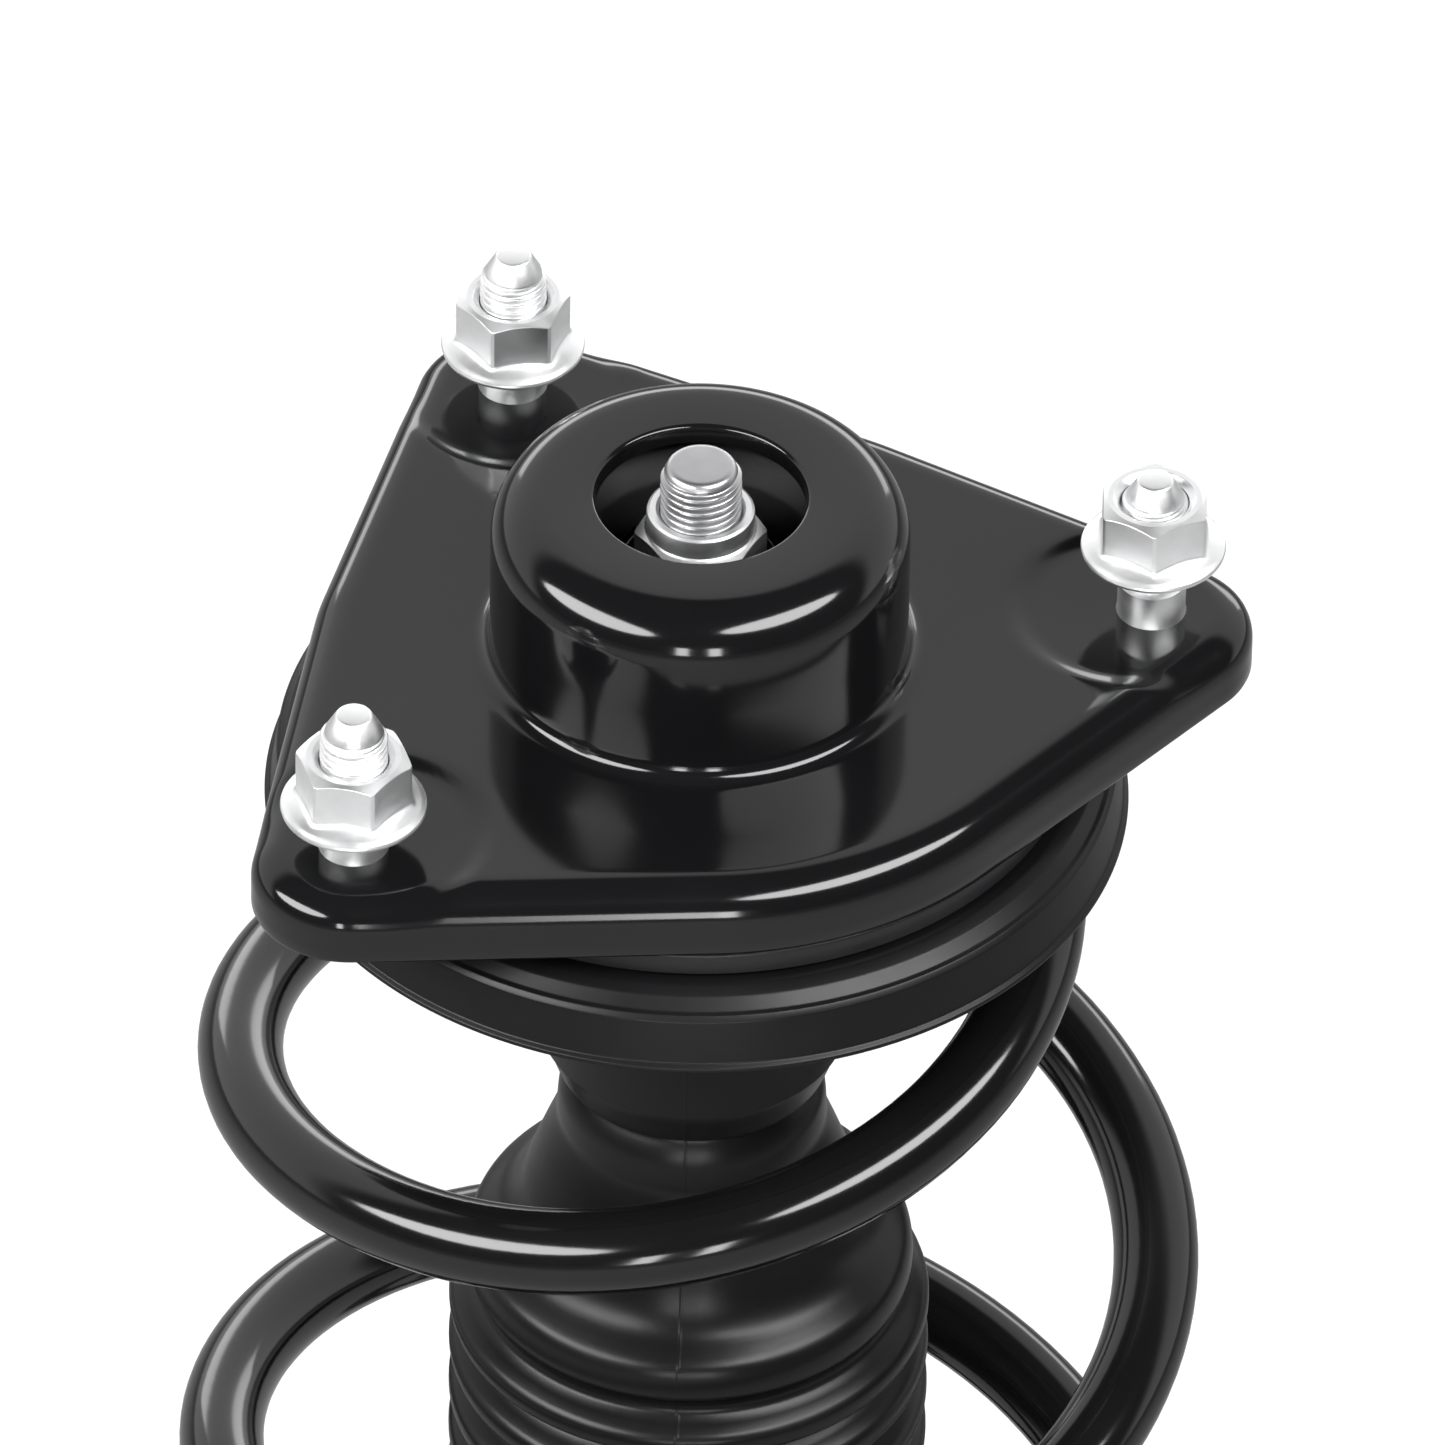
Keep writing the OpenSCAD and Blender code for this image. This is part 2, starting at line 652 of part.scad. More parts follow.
first_phi = -top_end_angle;
last_phi = active_angle + bottom_end_angle;
ring_total = ceil((last_phi - first_phi) / 360 * rings_per_turn);
PHIS = [for (k = [0:ring_total]) first_phi + (last_phi - first_phi) * k / ring_total];

module coil_spring() color(BLACK) {
  points = [for (phi = PHIS) each wire_ring(phi)];
  n = wire_sides;
  sides = [for (k = [0:ring_total - 1], s = [0:n - 1])
    let (a = k * n + s, b = k * n + (s + 1) % n) each [[a, b, b + n], [a, b + n, a + n]]];
  first_end = [for (s = [1:n - 2]) [0, s + 1, s]];
  last = ring_total * n;
  last_end = [for (s = [1:n - 2]) [last, last + s, last + s + 1]];
  polyhedron(points, concat(sides, first_end, last_end));
}

// Least gap of the wire to itself, measured between points over half a turn apart
CENTRES = [for (phi = PHIS) wire_point(phi)];
half_turn = rings_per_turn / 2;
wire_gap = min([for (i = [0:len(CENTRES) - 1 - half_turn], j = [i + half_turn:len(CENTRES) - 1])
  norm(CENTRES[i] - CENTRES[j])]) - wire_d;
echo(least_wire_gap = wire_gap);

module strut_tube() color(BLACK) turned([
  [tube_r, tube_bottom + 3], [tube_r, tube_top - 1.2], [tube_r - 1.2, tube_top],
  [tube_in_r - 3.5, tube_top], [tube_in_r - 3.5, tube_top - crimp_t],
  [tube_in_r, tube_top - crimp_t], [tube_in_r, tube_bottom + 3]
]);

module tube_base() color(BLACK) turned([
  [0, tube_bottom - 3], [tube_r - 5, tube_bottom - 3], [tube_r, tube_bottom + 1],
  [tube_r, tube_bottom + 3], [tube_in_r - press_gap, tube_bottom + 3],
  [tube_in_r - press_gap, tube_bottom + base_cup_h], [bore_r + pressure_wall + 1.5, base_top], [0, base_top]
]);

module pressure_tube() color(STEEL) turned([
  [bore_r, base_top], [bore_r + pressure_wall, base_top],
  [bore_r + pressure_wall, pressure_top], [bore_r, pressure_top]
]);

module base_valve() color(BRONZE) difference() {
  turned([
    [0, base_top], [bore_r - press_gap, base_top], [bore_r - press_gap, base_top + 9],
    [bore_r - 3, base_top + 12], [4, base_top + 12], [4, base_top + 15], [0, base_top + 15]
  ]);
  for (k = [1:6]) rotate(60 * k) translate([9, 0, base_top + 6]) cylinder(h = 10, r = 1.8);
}

module rod_guide() color(STEEL) turned([
  [rod_r + bush_wall + press_gap, guide_top], [tube_in_r - press_gap, guide_top],
  [tube_in_r - press_gap, guide_top - guide_head], [bore_r - press_gap, guide_top - guide_head],
  [bore_r - press_gap, guide_under], [rod_r + bush_wall + press_gap, guide_under]
]);

module guide_bush() color(BRONZE) turned([
  [rod_r + slide_gap, guide_top - 1], [rod_r + bush_wall, guide_top - 1],
  [rod_r + bush_wall, guide_under + 1], [rod_r + slide_gap, guide_under + 1]
]);

module rod_seal() color(RUBBER) turned([
  [rod_r + slide_gap, seal_top - 0.5], [rod_r + 2, seal_top - 0.5], [rod_r + 3, seal_top],
  [tube_in_r - press_gap, seal_top], [tube_in_r - press_gap, seal_top - seal_t],
  [rod_r + 2.5, seal_top - seal_t], [rod_r + 1.2, seal_top - 2.5], [rod_r + slide_gap, seal_top - 1.6]
]);

module top_cap() color(BLACK) turned([
  [rod_r + 1.5, cap_top], [tube_r + 0.6, cap_top], [tube_r + cap_t + press_gap, cap_top - 1],
  [tube_r + cap_t + press_gap, cap_top - cap_depth], [tube_r + press_gap, cap_top - cap_depth],
  [tube_r + press_gap, cap_top - cap_t], [rod_r + 1.5, cap_top - cap_t]
]);

module rebound_stop() color(RUBBER) turned([
  [rod_r + press_gap, stop_top - stop_h], [bore_r - 0.8, stop_top - stop_h],
  [bore_r - 0.8, stop_top - 1], [bore_r - 1.8, stop_top], [rod_r + press_gap, stop_top]
]);

band_z = (piston_top + piston_under) / 2;
band_h = 12;
band_t = 1.2;
module piston() color(STEEL) difference() {
  turned([
    [spigot_r + press_gap, piston_top], [bore_r - 1, piston_top], [bore_r - 0.2, piston_top - 1],
    [bore_r - 0.2, band_z + band_h / 2], [bore_r - band_t, band_z + band_h / 2],
    [bore_r - band_t, band_z - band_h / 2], [bore_r - 0.2, band_z - band_h / 2],
    [bore_r - 0.2, piston_under + 1], [bore_r - 1, piston_under], [spigot_r + press_gap, piston_under]
  ]);
  for (k = [1:8]) rotate(45 * k) translate([10.6, 0, piston_under - 1]) cylinder(h = piston_h + 2, r = 1.5);
}

module piston_band() color(BRONZE) turned([
  [bore_r - band_t + press_gap, band_z - band_h / 2 + press_gap], [bore_r - slide_gap, band_z - band_h / 2 + press_gap],
  [bore_r - slide_gap, band_z + band_h / 2 - press_gap], [bore_r - band_t + press_gap, band_z + band_h / 2 - press_gap]
]);

module valve_discs() color(STEEL) {
  for (low = [piston_top, piston_under - disc_t]) translate([0, 0, low]) turned([
    [spigot_r + press_gap, 0], [bore_r - 2, 0], [bore_r - 3.5, disc_t], [spigot_r + press_gap, disc_t]
  ]);
}

module piston_nut() color(ZINC) translate([0, 0, piston_under - disc_t - piston_nut_h]) difference() {
  hex_body(22, piston_nut_h);
  translate([0, 0, -1]) cylinder(h = piston_nut_h + 2, r = spigot_r + press_gap);
}

module lower_spring_seat() color(BLACK) difference() {
  turned([
    [tube_r + press_gap, lower_floor - lower_collar_h], [tube_r + press_gap, lower_floor - 5],
    [tube_r + 5, lower_floor], [lower_flat_r, lower_floor],
    [lower_rim_r - lower_seat_t, lower_floor + 9], [lower_rim_r, lower_floor + 9],
    [lower_rim_r - 3.6, lower_floor - lower_seat_t], [tube_r + 6.4, lower_floor - lower_seat_t],
    [tube_r + 3.2, lower_floor - 6.6], [tube_r + 3.2, lower_floor - lower_collar_h]
  ]);
  for (k = [1:3]) rotate(120 * k + 40) translate([(tube_r + bottom_coil_r) / 2 - 3, 0, lower_floor - 10])
    cylinder(h = 20, r = 4);
}

module lower_pad() color(RUBBER) {
  lip_r = bottom_coil_r - wire_r - 0.7;
  turned([
    [lip_r - 5, lower_floor], [lower_flat_r - 1.5, lower_floor],
    [lower_flat_r - 1.5, lower_pad_top], [lip_r, lower_pad_top],
    [lip_r - 1, lower_pad_top + 6], [lip_r - 4, lower_pad_top + 7], [lip_r - 5, lower_pad_top + 6]
  ]);
  // Stop that the wire's end meets
  end_gap = 2 * asin(seat_gap / bottom_coil_r);
  rotate(spring_start - last_phi - end_gap - stop_angle) rotate_extrude(angle = stop_angle) polygon([
    [lip_r - 1, lower_floor + 1], [bottom_coil_r + wire_r, lower_floor + 1],
    [bottom_coil_r + wire_r, lower_pad_top + wire_r], [bottom_coil_r + wire_r - 2, lower_pad_top + wire_d - 3],
    [lip_r - 1, lower_pad_top + wire_d - 3]
  ]);
}

// Side view of the knuckle bracket, y across and z up: a band at the tube and an ear round each bolt
module cheek_outline() {
  bolt_high_z = bolt_low_z + bolt_spacing;
  difference() {
    union() {
      translate([-tube_r, tube_bottom + 3]) square([2 * tube_r + cheek_t + 1, bracket_h - 3]);
      polygon([
        [-tube_r + 1, tube_bottom + 3], [-bolt_reach, bolt_low_z - cheek_margin],
        [-bolt_reach - cheek_margin + 0.1, bolt_low_z], [-bolt_reach - cheek_margin + 0.1, bolt_high_z],
        [-bolt_reach, bolt_high_z + cheek_margin], [-tube_r + 1, bracket_top]
      ]);
      for (z = [bolt_low_z, bolt_high_z]) translate([-bolt_reach, z]) circle(cheek_margin);
    }
    // Scallop between the ears
    translate([-bolt_reach - cheek_margin - scallop_r + scallop_depth, bolt_low_z + bolt_spacing / 2])
      circle(scallop_r);
  }
}

// Pressed rib that stiffens a cheek, from the tube towards a bolt
module cheek_rib(side, z) {
  near = -0.4 * tube_r;
  far = -bolt_reach + cheek_margin + 3;
  translate([side * (cheek_x + cheek_t - 0.4 * rib_r), 0, z]) {
    for (y = [near, far]) translate([0, y, 0]) sphere(rib_r);
    translate([0, near, 0]) rotate([90, 0, 0]) cylinder(h = near - far, r = rib_r);
  }
}

// Two cheeks that reach forward from a band round the back of the tube
module knuckle_bracket() color(BLACK) difference() {
  union() {
    intersection() {
      translate([0, 0, tube_bottom]) linear_extrude(bracket_h + 1) union() {
        circle(cheek_x + cheek_t);
        translate([-cheek_x - cheek_t, -cheek_end]) square([2 * (cheek_x + cheek_t), cheek_end]);
      }
      translate([-bracket_gap, 0, 0]) rotate([90, 0, 90]) linear_extrude(2 * bracket_gap) cheek_outline();
    }
    for (side = [-1, 1], k = [0, 1]) cheek_rib(side, bolt_low_z + k * bolt_spacing);
  }
  translate([0, 0, tube_bottom - 1]) cylinder(h = bracket_h + 3, r = tube_r + press_gap);
  translate([-cheek_x, -cheek_end - 1, tube_bottom - 1]) cube([bracket_gap, cheek_end + 1, bracket_h + 3]);
  for (k = [0, 1]) translate([-60, -bolt_reach, bolt_low_z + k * bolt_spacing]) rotate([0, 90, 0])
    cylinder(h = 120, r = bolt_hole_r);
}

module bracket_bridge() color(BLACK) translate([0, 0, tube_bottom + 14]) linear_extrude(bracket_h - 26)
  intersection() {
    difference() {
      circle(cheek_x + 3);
      circle(tube_r + press_gap);
    }
    translate([-cheek_x + press_gap, -cheek_x - 4]) square([bracket_gap - 2 * press_gap, cheek_x + 1]);
  }

// Saddle that hugs the tube on its +X side
module saddle(z_low, h, t, half_w) {
  intersection() {
    translate([0, 0, z_low]) difference() {
      cylinder(h = h, r = tube_r + t);
      translate([0, 0, -1]) cylinder(h = h + 2, r = tube_r + press_gap);
    }
    translate([0, -half_w, z_low]) cube([tube_r + t + 1, 2 * half_w, h]);
  }
}

module link_bracket() color(BLACK) {
  saddle(link_z - link_saddle_h / 2, link_saddle_h, 3, link_saddle_w / 2);
  difference() {
    rotate([90, 0, 0]) translate([0, 0, -link_t / 2]) linear_extrude(link_t) difference() {
      union() {
        translate([link_reach, link_z]) circle(link_hole_r + 7);
        polygon([
          [tube_r + 2, link_z - link_saddle_h / 2 + 1], [link_reach, link_z - link_hole_r - 7],
          [link_reach, link_z + link_hole_r + 7], [tube_r + 2, link_z + link_saddle_h / 2 - 1]
        ]);
      }
      translate([link_reach, link_z]) circle(link_hole_r);
    }
  }
}

hose_reach = tube_r + 17;
module hose_bracket() color(BLACK) mirror([1, 0, 0]) {
  saddle(hose_z - 14, 17, 2.5, 13);
  translate([0, 0, hose_z]) linear_extrude(3) difference() {
    union() {
      translate([hose_reach, 0]) circle(hose_hole_r + 6);
      translate([tube_r + 1, -hose_hole_r - 6]) square([hose_reach - tube_r - 1, 2 * hose_hole_r + 12]);
    }
    translate([hose_reach, 0]) circle(hose_hole_r);
  }
}

mount_plate();
mount_studs();
flange_nuts();
closing_plate();
rubber_bush();
core_sleeve();
top_washer();
rod_nut();
piston_rod();
rebound_washer();
bump_stop_cup();
bump_stop();
bearing_upper_race();
bearing_balls();
ball_cage();
rebound_stop();
piston();
piston_band();
valve_discs();
piston_nut();
bearing_lower_race();
upper_spring_seat();
upper_insulator();
dust_boot();
coil_spring();
strut_tube();
tube_base();
pressure_tube();
base_valve();
rod_guide();
guide_bush();
rod_seal();
top_cap();
lower_spring_seat();
lower_pad();
knuckle_bracket();
bracket_bridge();
link_bracket();
hose_bracket();
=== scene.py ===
import math

import bmesh
import bpy
from bpy.props import FloatProperty, FloatVectorProperty, IntProperty, PointerProperty
from mathutils import Matrix, Vector


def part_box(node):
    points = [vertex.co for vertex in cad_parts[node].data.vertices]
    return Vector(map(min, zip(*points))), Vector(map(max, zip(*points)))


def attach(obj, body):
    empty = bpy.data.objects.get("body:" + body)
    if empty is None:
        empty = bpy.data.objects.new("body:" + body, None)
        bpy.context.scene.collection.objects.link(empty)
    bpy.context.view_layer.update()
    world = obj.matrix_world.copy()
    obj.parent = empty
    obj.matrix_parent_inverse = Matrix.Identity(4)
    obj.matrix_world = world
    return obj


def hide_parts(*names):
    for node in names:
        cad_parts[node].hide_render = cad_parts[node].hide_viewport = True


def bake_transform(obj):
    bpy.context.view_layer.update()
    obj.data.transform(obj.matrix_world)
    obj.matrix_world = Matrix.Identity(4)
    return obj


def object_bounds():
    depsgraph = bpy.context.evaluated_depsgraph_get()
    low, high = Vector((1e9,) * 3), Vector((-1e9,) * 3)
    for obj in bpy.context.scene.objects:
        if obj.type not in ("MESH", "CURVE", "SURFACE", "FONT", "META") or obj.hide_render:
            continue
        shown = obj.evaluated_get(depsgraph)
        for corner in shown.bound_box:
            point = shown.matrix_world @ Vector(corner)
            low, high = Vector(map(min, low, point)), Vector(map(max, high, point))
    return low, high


bl_info = {
    "name": "Strut Assembly",
    "version": (1, 0, 0),
    "blender": (4, 5, 0),
    "location": "View3D > Sidebar > Strut",
    "description": "Builds a loaded suspension strut over its CAD frame, with its finishes and studio",
    "category": "Object",
}

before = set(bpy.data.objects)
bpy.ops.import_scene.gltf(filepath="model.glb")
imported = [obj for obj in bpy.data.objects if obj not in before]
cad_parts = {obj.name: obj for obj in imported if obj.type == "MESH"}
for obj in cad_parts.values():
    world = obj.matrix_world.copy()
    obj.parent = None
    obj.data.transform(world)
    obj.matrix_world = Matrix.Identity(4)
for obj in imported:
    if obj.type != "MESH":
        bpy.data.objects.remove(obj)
CAD_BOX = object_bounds()

# Profiles are written in millimetres; Blender's own lengths are in metres.
MM = 0.001
TAU = math.tau
QUARTER = math.pi / 2.0
WHITE = (1.0, 1.0, 1.0, 1.0)
# Clearance of a press fit between two pieces
PRESS = 0.02


def top_of(node):
    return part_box(node)[1].z / MM


def foot_of(node):
    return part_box(node)[0].z / MM


def side_of(node):
    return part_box(node)[1].x / MM


def length(title, millimetres, text):
    return FloatProperty(name=title, default=millimetres * MM, description=text, unit="LENGTH", precision=5)


def share(title, value, text):
    return FloatProperty(name=title, default=value, min=0.0, max=1.0, description=text, subtype="FACTOR")


def tint(title, value, text):
    return FloatVectorProperty(name=title, default=value, size=3, min=0.0, max=1.0, description=text, subtype="COLOR")


def plain(title, value, text, **options):
    return FloatProperty(name=title, default=value, description=text, **options)


class StrutPlateSizes(bpy.types.PropertyGroup):
    plate_radius: length("Plate radius", 57.0, "Radius of the plate's round pan")
    ear_radius: length("Ear radius", 14.2, "Radius of each ear round its stud")
    ear_out: length("Ear offset", 0.8, "Distance of each ear's centre outside its stud")
    ear_drop: length("Ear drop", 0.8, "Depth of the pad round each stud below the field")
    pad_radius: length("Pad radius", 14.6, "Radius of the lowered pad round each stud")
    pad_slope: length("Pad slope", 4.2, "Width of the slope from a pad up to the field")
    edge_roll: length("Edge roll", 6.0, "Radius of the pressing's rolled edge")
    sheet: length("Sheet", 3.0, "Thickness of the pressed sheet")
    hub_radius: length("Hub radius", 30.5, "Outer radius of the hub")
    hub_round: length("Hub round", 8.0, "Radius of the hub's rolled top edge")
    hub_hole: length("Hub hole", 15.4, "Radius of the hole in the hub's top")
    hub_fillet: length("Hub fillet", 2.8, "Fillet where the hub meets the plate")
    stud_rear: length("Rear stud", 66.6, "Distance of the rear stud behind the strut's axis")
    stud_side: length("Rear stud offset", 1.0, "Sideways offset of the rear stud")
    stud_span: length("Stud span", 128.0, "Distance between the two front studs")
    stud_front: length("Front studs", 19.2, "Distance of the front studs ahead of the strut's axis")


class StrutFastenerSizes(bpy.types.PropertyGroup):
    stud_radius: length("Stud radius", 5.0, "Radius of a stud's shank")
    thread_pitch: length("Thread pitch", 1.25, "Pitch of the stud and rod threads")
    nut_flats: length("Nut across flats", 15.0, "Size of the flange nuts across flats")
    nut_height: length("Nut height", 10.0, "Height of a flange nut")
    flange_radius: length("Flange radius", 10.6, "Radius of the flange nuts' washers")
    rod_nut_flats: length("Rod nut across flats", 17.0, "Size of the rod nut across flats")


class StrutSpringSizes(bpy.types.PropertyGroup):
    wire: length("Wire", 12.7, "Diameter of the spring wire")
    coil_radius: length("Coil radius", 70.0, "Radius of the coil to the middle of the wire")
    upper_radius: length("First coil radius", 66.7, "Radius of the first coil below the upper seat")
    top_radius: length("Top turn radius", 49.7, "Radius of the turn on the upper seat")
    bottom_radius: length("Bottom turn radius", 60.0, "Radius of the turn on the lower seat")
    turns: plain("Active turns", 3.6, "Turns between the two seated ends")
    ring_sides: IntProperty(name="Sides", default=36, min=12, description="Sides of the wire's section")


class StrutFinishes(bpy.types.PropertyGroup):
    paint: tint("Paint", (0.0045, 0.0045, 0.0050), "Black paint on the pressings and the tube")
    coil_paint: tint("Spring paint", (0.0045, 0.0045, 0.0048), "Powder coat on the spring")
    zinc: tint("Zinc", (0.92, 0.925, 0.93), "Plating on the studs and nuts")
    steel: tint("Steel", (0.50, 0.50, 0.51), "Bare turned steel")
    rubber: tint("Rubber", (0.0055, 0.0055, 0.0055), "Moulded rubber")
    boot: tint("Boot", (0.0045, 0.0045, 0.0048), "Blow-moulded boot")
    paint_roughness: share("Paint roughness", 0.24, "Roughness under the paint's gloss")
    coat_roughness: share("Gloss roughness", 0.105, "Roughness of the paint's gloss")


class StrutStudio(bpy.types.PropertyGroup):
    distance: plain("Camera distance", 3.0, "From the camera to its target", unit="LENGTH")
    lens: plain("Lens", 511.6, "Focal length on a 36 mm sensor, in millimetres")
    box_glow: plain("Soft box", 14.0, "Brightness of the soft boxes' faces")
    strip_glow: plain("Strip lamps", 14.0, "Brightness of the two strip lamps' faces")
    back_glow: plain("Back lamp", 3.0, "Brightness of the low lamp behind the strut")
    room_fill: plain("Room fill", 0.30, "Light that the room gives to matt surfaces")
    room_mirror: plain("Room in gloss", 0.95, "Brightness of the far wall in glossy surfaces")


# ---------------------------------------------------------------- mesh tools

def polar(r, angle):
    return r * math.cos(angle), r * math.sin(angle)


def finish_mesh(name, verts, faces, material, sharp=33.0, merge=True):
    """A smooth-shaded object from points in millimetres, with crisp edges above an angle."""
    mesh = bpy.data.meshes.new(name)
    mesh.from_pydata([(x * MM, y * MM, z * MM) for x, y, z in verts], [], faces)
    work = bmesh.new()
    work.from_mesh(mesh)
    if merge:
        bmesh.ops.remove_doubles(work, verts=work.verts, dist=1e-6)
    bmesh.ops.recalc_face_normals(work, faces=work.faces)
    work.to_mesh(mesh)
    work.free()
    mesh.shade_smooth()
    mesh.set_sharp_from_angle(angle=math.radians(sharp))
    mesh.materials.append(material)
    piece = bpy.data.objects.new(name, mesh)
    bpy.context.scene.collection.objects.link(piece)
    return piece


def place(piece, body, slot, *nodes):
    """Puts a finished piece on its body, in place of its CAD nodes."""
    if body:
        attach(piece, body)
    if nodes:
        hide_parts(*nodes)
    return piece


def rounded(corners, steps=6):
    """A half profile whose corners (r, z, radius) are rounded; corners without a radius stay sharp."""
    points = []
    total = len(corners)
    for index, corner in enumerate(corners):
        here = Vector(corner[:2])
        radius = corner[2] if len(corner) > 2 else 0.0
        before = Vector(corners[index - 1][:2]) - here
        after = Vector(corners[(index + 1) % total][:2]) - here
        if radius <= 0.0 or before.length < 1e-6 or after.length < 1e-6:
            points.append(here)
            continue
        half = before.angle(after) / 2.0
        reach = min(radius / math.tan(half), 0.48 * before.length, 0.48 * after.length)
        radius = reach * math.tan(half)
        centre = here + (before.normalized() + after.normalized()).normalized() * (radius / math.sin(half))
        first = here + before.normalized() * reach - centre
        last = here + after.normalized() * reach - centre
        sweep = math.pi - 2.0 * half
        side = 1.0 if first.x * last.y - first.y * last.x > 0.0 else -1.0
        count = max(2, math.ceil(steps * sweep / QUARTER))
        for k in range(count + 1):
            angle = side * sweep * k / count
            cos_a, sin_a = math.cos(angle), math.sin(angle)
            points.append(centre + Vector((first.x * cos_a - first.y * sin_a, first.x * sin_a + first.y * cos_a)))
    return [(max(0.0, p.x), p.y) for p in points]


def smooth_curve(points, steps):
    """Points of a smooth curve through the given (r, z) points, with some steps between each two."""
    made = []
    for i in range(len(points) - 1):
        p0, p1, p2 = points[max(0, i - 1)], points[i], points[i + 1]
        p3 = points[min(len(points) - 1, i + 2)]
        for k in range(steps):
            t = k / steps
            made.append(tuple(0.5 * ((2 * b) + (c - a) * t + (2 * a - 5 * b + 4 * c - d) * t * t
                                     + (3 * b - a - 3 * c + d) * t ** 3)
                              for a, b, c, d in zip(p0, p1, p2, p3)))
    made.append(points[-1])
    return made


def ring_faces(rings, count, closed=True):
    """Quads between successive rings of count points; closed joins the last ring to the first."""
    faces = []
    for i in range(rings if closed else rings - 1):
        low, high = i * count, ((i + 1) % rings) * count
        for k in range(count):
            n = (k + 1) % count
            faces.append((low + k, low + n, high + n, high + k))
    return faces


def capped_faces(rings, count):
    """Quads between successive rings, with a face across the first ring and one across the last."""
    last = (rings - 1) * count
    caps = [tuple(range(count - 1, -1, -1)), tuple(last + k for k in range(count))]
    return ring_faces(rings, count, closed=False) + caps


def turned(name, profile, material, steps=160, **options):
    """A solid turned about the strut's axis from a closed half profile."""
    verts = [(*polar(r, TAU * k / steps), z) for r, z in profile for k in range(steps)]
    return finish_mesh(name, verts, ring_faces(len(profile), steps), material, **options)


def turned_part(name, corners, finish_name, body, slot, node, steps=160):
    """A turned piece from the corners of its half profile, on its body, in place of its CAD node."""
    return place(turned(name, rounded(corners), finishes()[finish_name], steps=steps), body, slot, node)


def moved(verts, x, y, z, turn=0.0):
    cos_t, sin_t = math.cos(turn), math.sin(turn)
    return [(x + a * cos_t - b * sin_t, y + a * sin_t + b * cos_t, z + c) for a, b, c in verts]


def joined(parts):
    """One list of points and faces from several."""
    verts, faces = [], []
    for part_verts, part_faces in parts:
        start = len(verts)
        verts.extend(part_verts)
        faces.extend(tuple(start + i for i in face) for face in part_faces)
    return verts, faces


def stacked(rings, steps):
    """Points and faces of a closed stack of rings; each ring is a height and a radius, fixed or by angle."""
    verts = []
    for z, radius in rings:
        for k in range(steps):
            angle = TAU * k / steps
            r = radius(angle) if callable(radius) else radius
            h = z(angle) if callable(z) else z
            verts.append((*polar(r, angle), h))
    return verts, ring_faces(len(rings), steps)


def thread_rings(low, high, crest, root, pitch, samples=12):
    """Rings of a helical thread from low to high, faded out over its first and last turn."""
    rings = []
    count = math.ceil((high - low) / pitch * samples)
    for i in range(count + 1):
        z = low + (high - low) * i / count
        fade = min(1.0, (z - low) / pitch, (high - z) / (0.7 * pitch))

        def radius(angle, z=z, fade=fade):
            turn = (z / pitch - angle / TAU) % 1.0
            flank = smooth_step(2.6 * (0.5 - abs(turn - 0.5)) - 0.18)
            return root + (crest - root) * flank * fade

        rings.append((z, radius))
    return rings


def smooth_step(value):
    value = min(1.0, max(0.0, value))
    return value * value * (3.0 - 2.0 * value)


def between(start, end, count):
    """Values after start up to end, in equal steps."""
    return [start + (end - start) * (k + 1) / count for k in range(count)]


def hex_radius(angle, flats, soften=0.35):
    """Radius of a hexagon across flats at an angle, with its corners just rounded."""
    turn = (angle + math.pi / 6.0) % (math.pi / 3.0) - math.pi / 6.0
    corner = flats / math.sqrt(3.0) - soften + 0.5 * soften * math.cos(6.0 * angle + math.pi)
    return min(flats / 2.0 / math.cos(turn), corner)


def applied(piece):
    """Gives a piece the mesh that its modifiers make."""
    bpy.context.view_layer.update()
    shape = bpy.data.meshes.new_from_object(piece.evaluated_get(bpy.context.evaluated_depsgraph_get()))
    piece.modifiers.clear()
    piece.data = shape
    return shape


def lifted(base, points):
    """Points (r, z, ...) of a profile whose heights are counted from a base."""
    return [(r, base + z, *rest) for r, z, *rest in points]


def above(base, rings):
    """Rings (z, r) of a stack whose heights are counted from a base."""
    return [(base + z, r) for z, r in rings]


# ---------------------------------------------------------------- finishes

def set_inputs(tree, node, inputs):
    """Sets a node's inputs, each to a value or to another node's output."""
    for key, value in inputs.items():
        if isinstance(value, bpy.types.NodeSocket):
            tree.links.new(value, node.inputs[key])
        else:
            node.inputs[key].default_value = value


def add_node(tree, kind, inputs=None, **settings):
    """A shader node with its settings and inputs; gives its outputs."""
    node = tree.nodes.new("ShaderNode" + kind)
    for key, value in settings.items():
        setattr(node, key, value)
    set_inputs(tree, node, inputs or {})
    return node.outputs


def open_group(name, inputs, outputs):
    """A new shader node group with its sockets, its entries and its last node."""
    group = bpy.data.node_groups.new(name, "ShaderNodeTree")
    for title, value in inputs.items():
        group.interface.new_socket(title, in_out="INPUT", socket_type="NodeSocketFloat").default_value = value
    for title in outputs:
        group.interface.new_socket(title, in_out="OUTPUT", socket_type="NodeSocketFloat")
    return group, group.nodes.new("NodeGroupInput").outputs, group.nodes.new("NodeGroupOutput")


def grain_group():
    """Fine moulded or painted grain: a height, and a slow shade for uneven gloss."""
    name = "Fine grain"
    if name in bpy.data.node_groups:
        return bpy.data.node_groups[name]
    group, entry, leave = open_group(name, {"Grain per metre": 900.0, "Cloud per metre": 40.0}, ("Height", "Cloud"))
    where = add_node(group, "TexCoord")["Object"]
    fine = add_node(group, "TexNoise", {"Vector": where, "Scale": entry["Grain per metre"], "Detail": 3.0})["Fac"]
    slow = add_node(group, "TexNoise", {"Vector": where, "Scale": entry["Cloud per metre"], "Detail": 4.0,
                                        "Roughness": 0.6})["Fac"]
    height = add_node(group, "Math", {0: slow, 1: 0.35, 2: fine}, operation="MULTIPLY_ADD")["Value"]
    set_inputs(group, leave, {"Height": height, "Cloud": slow})
    return group


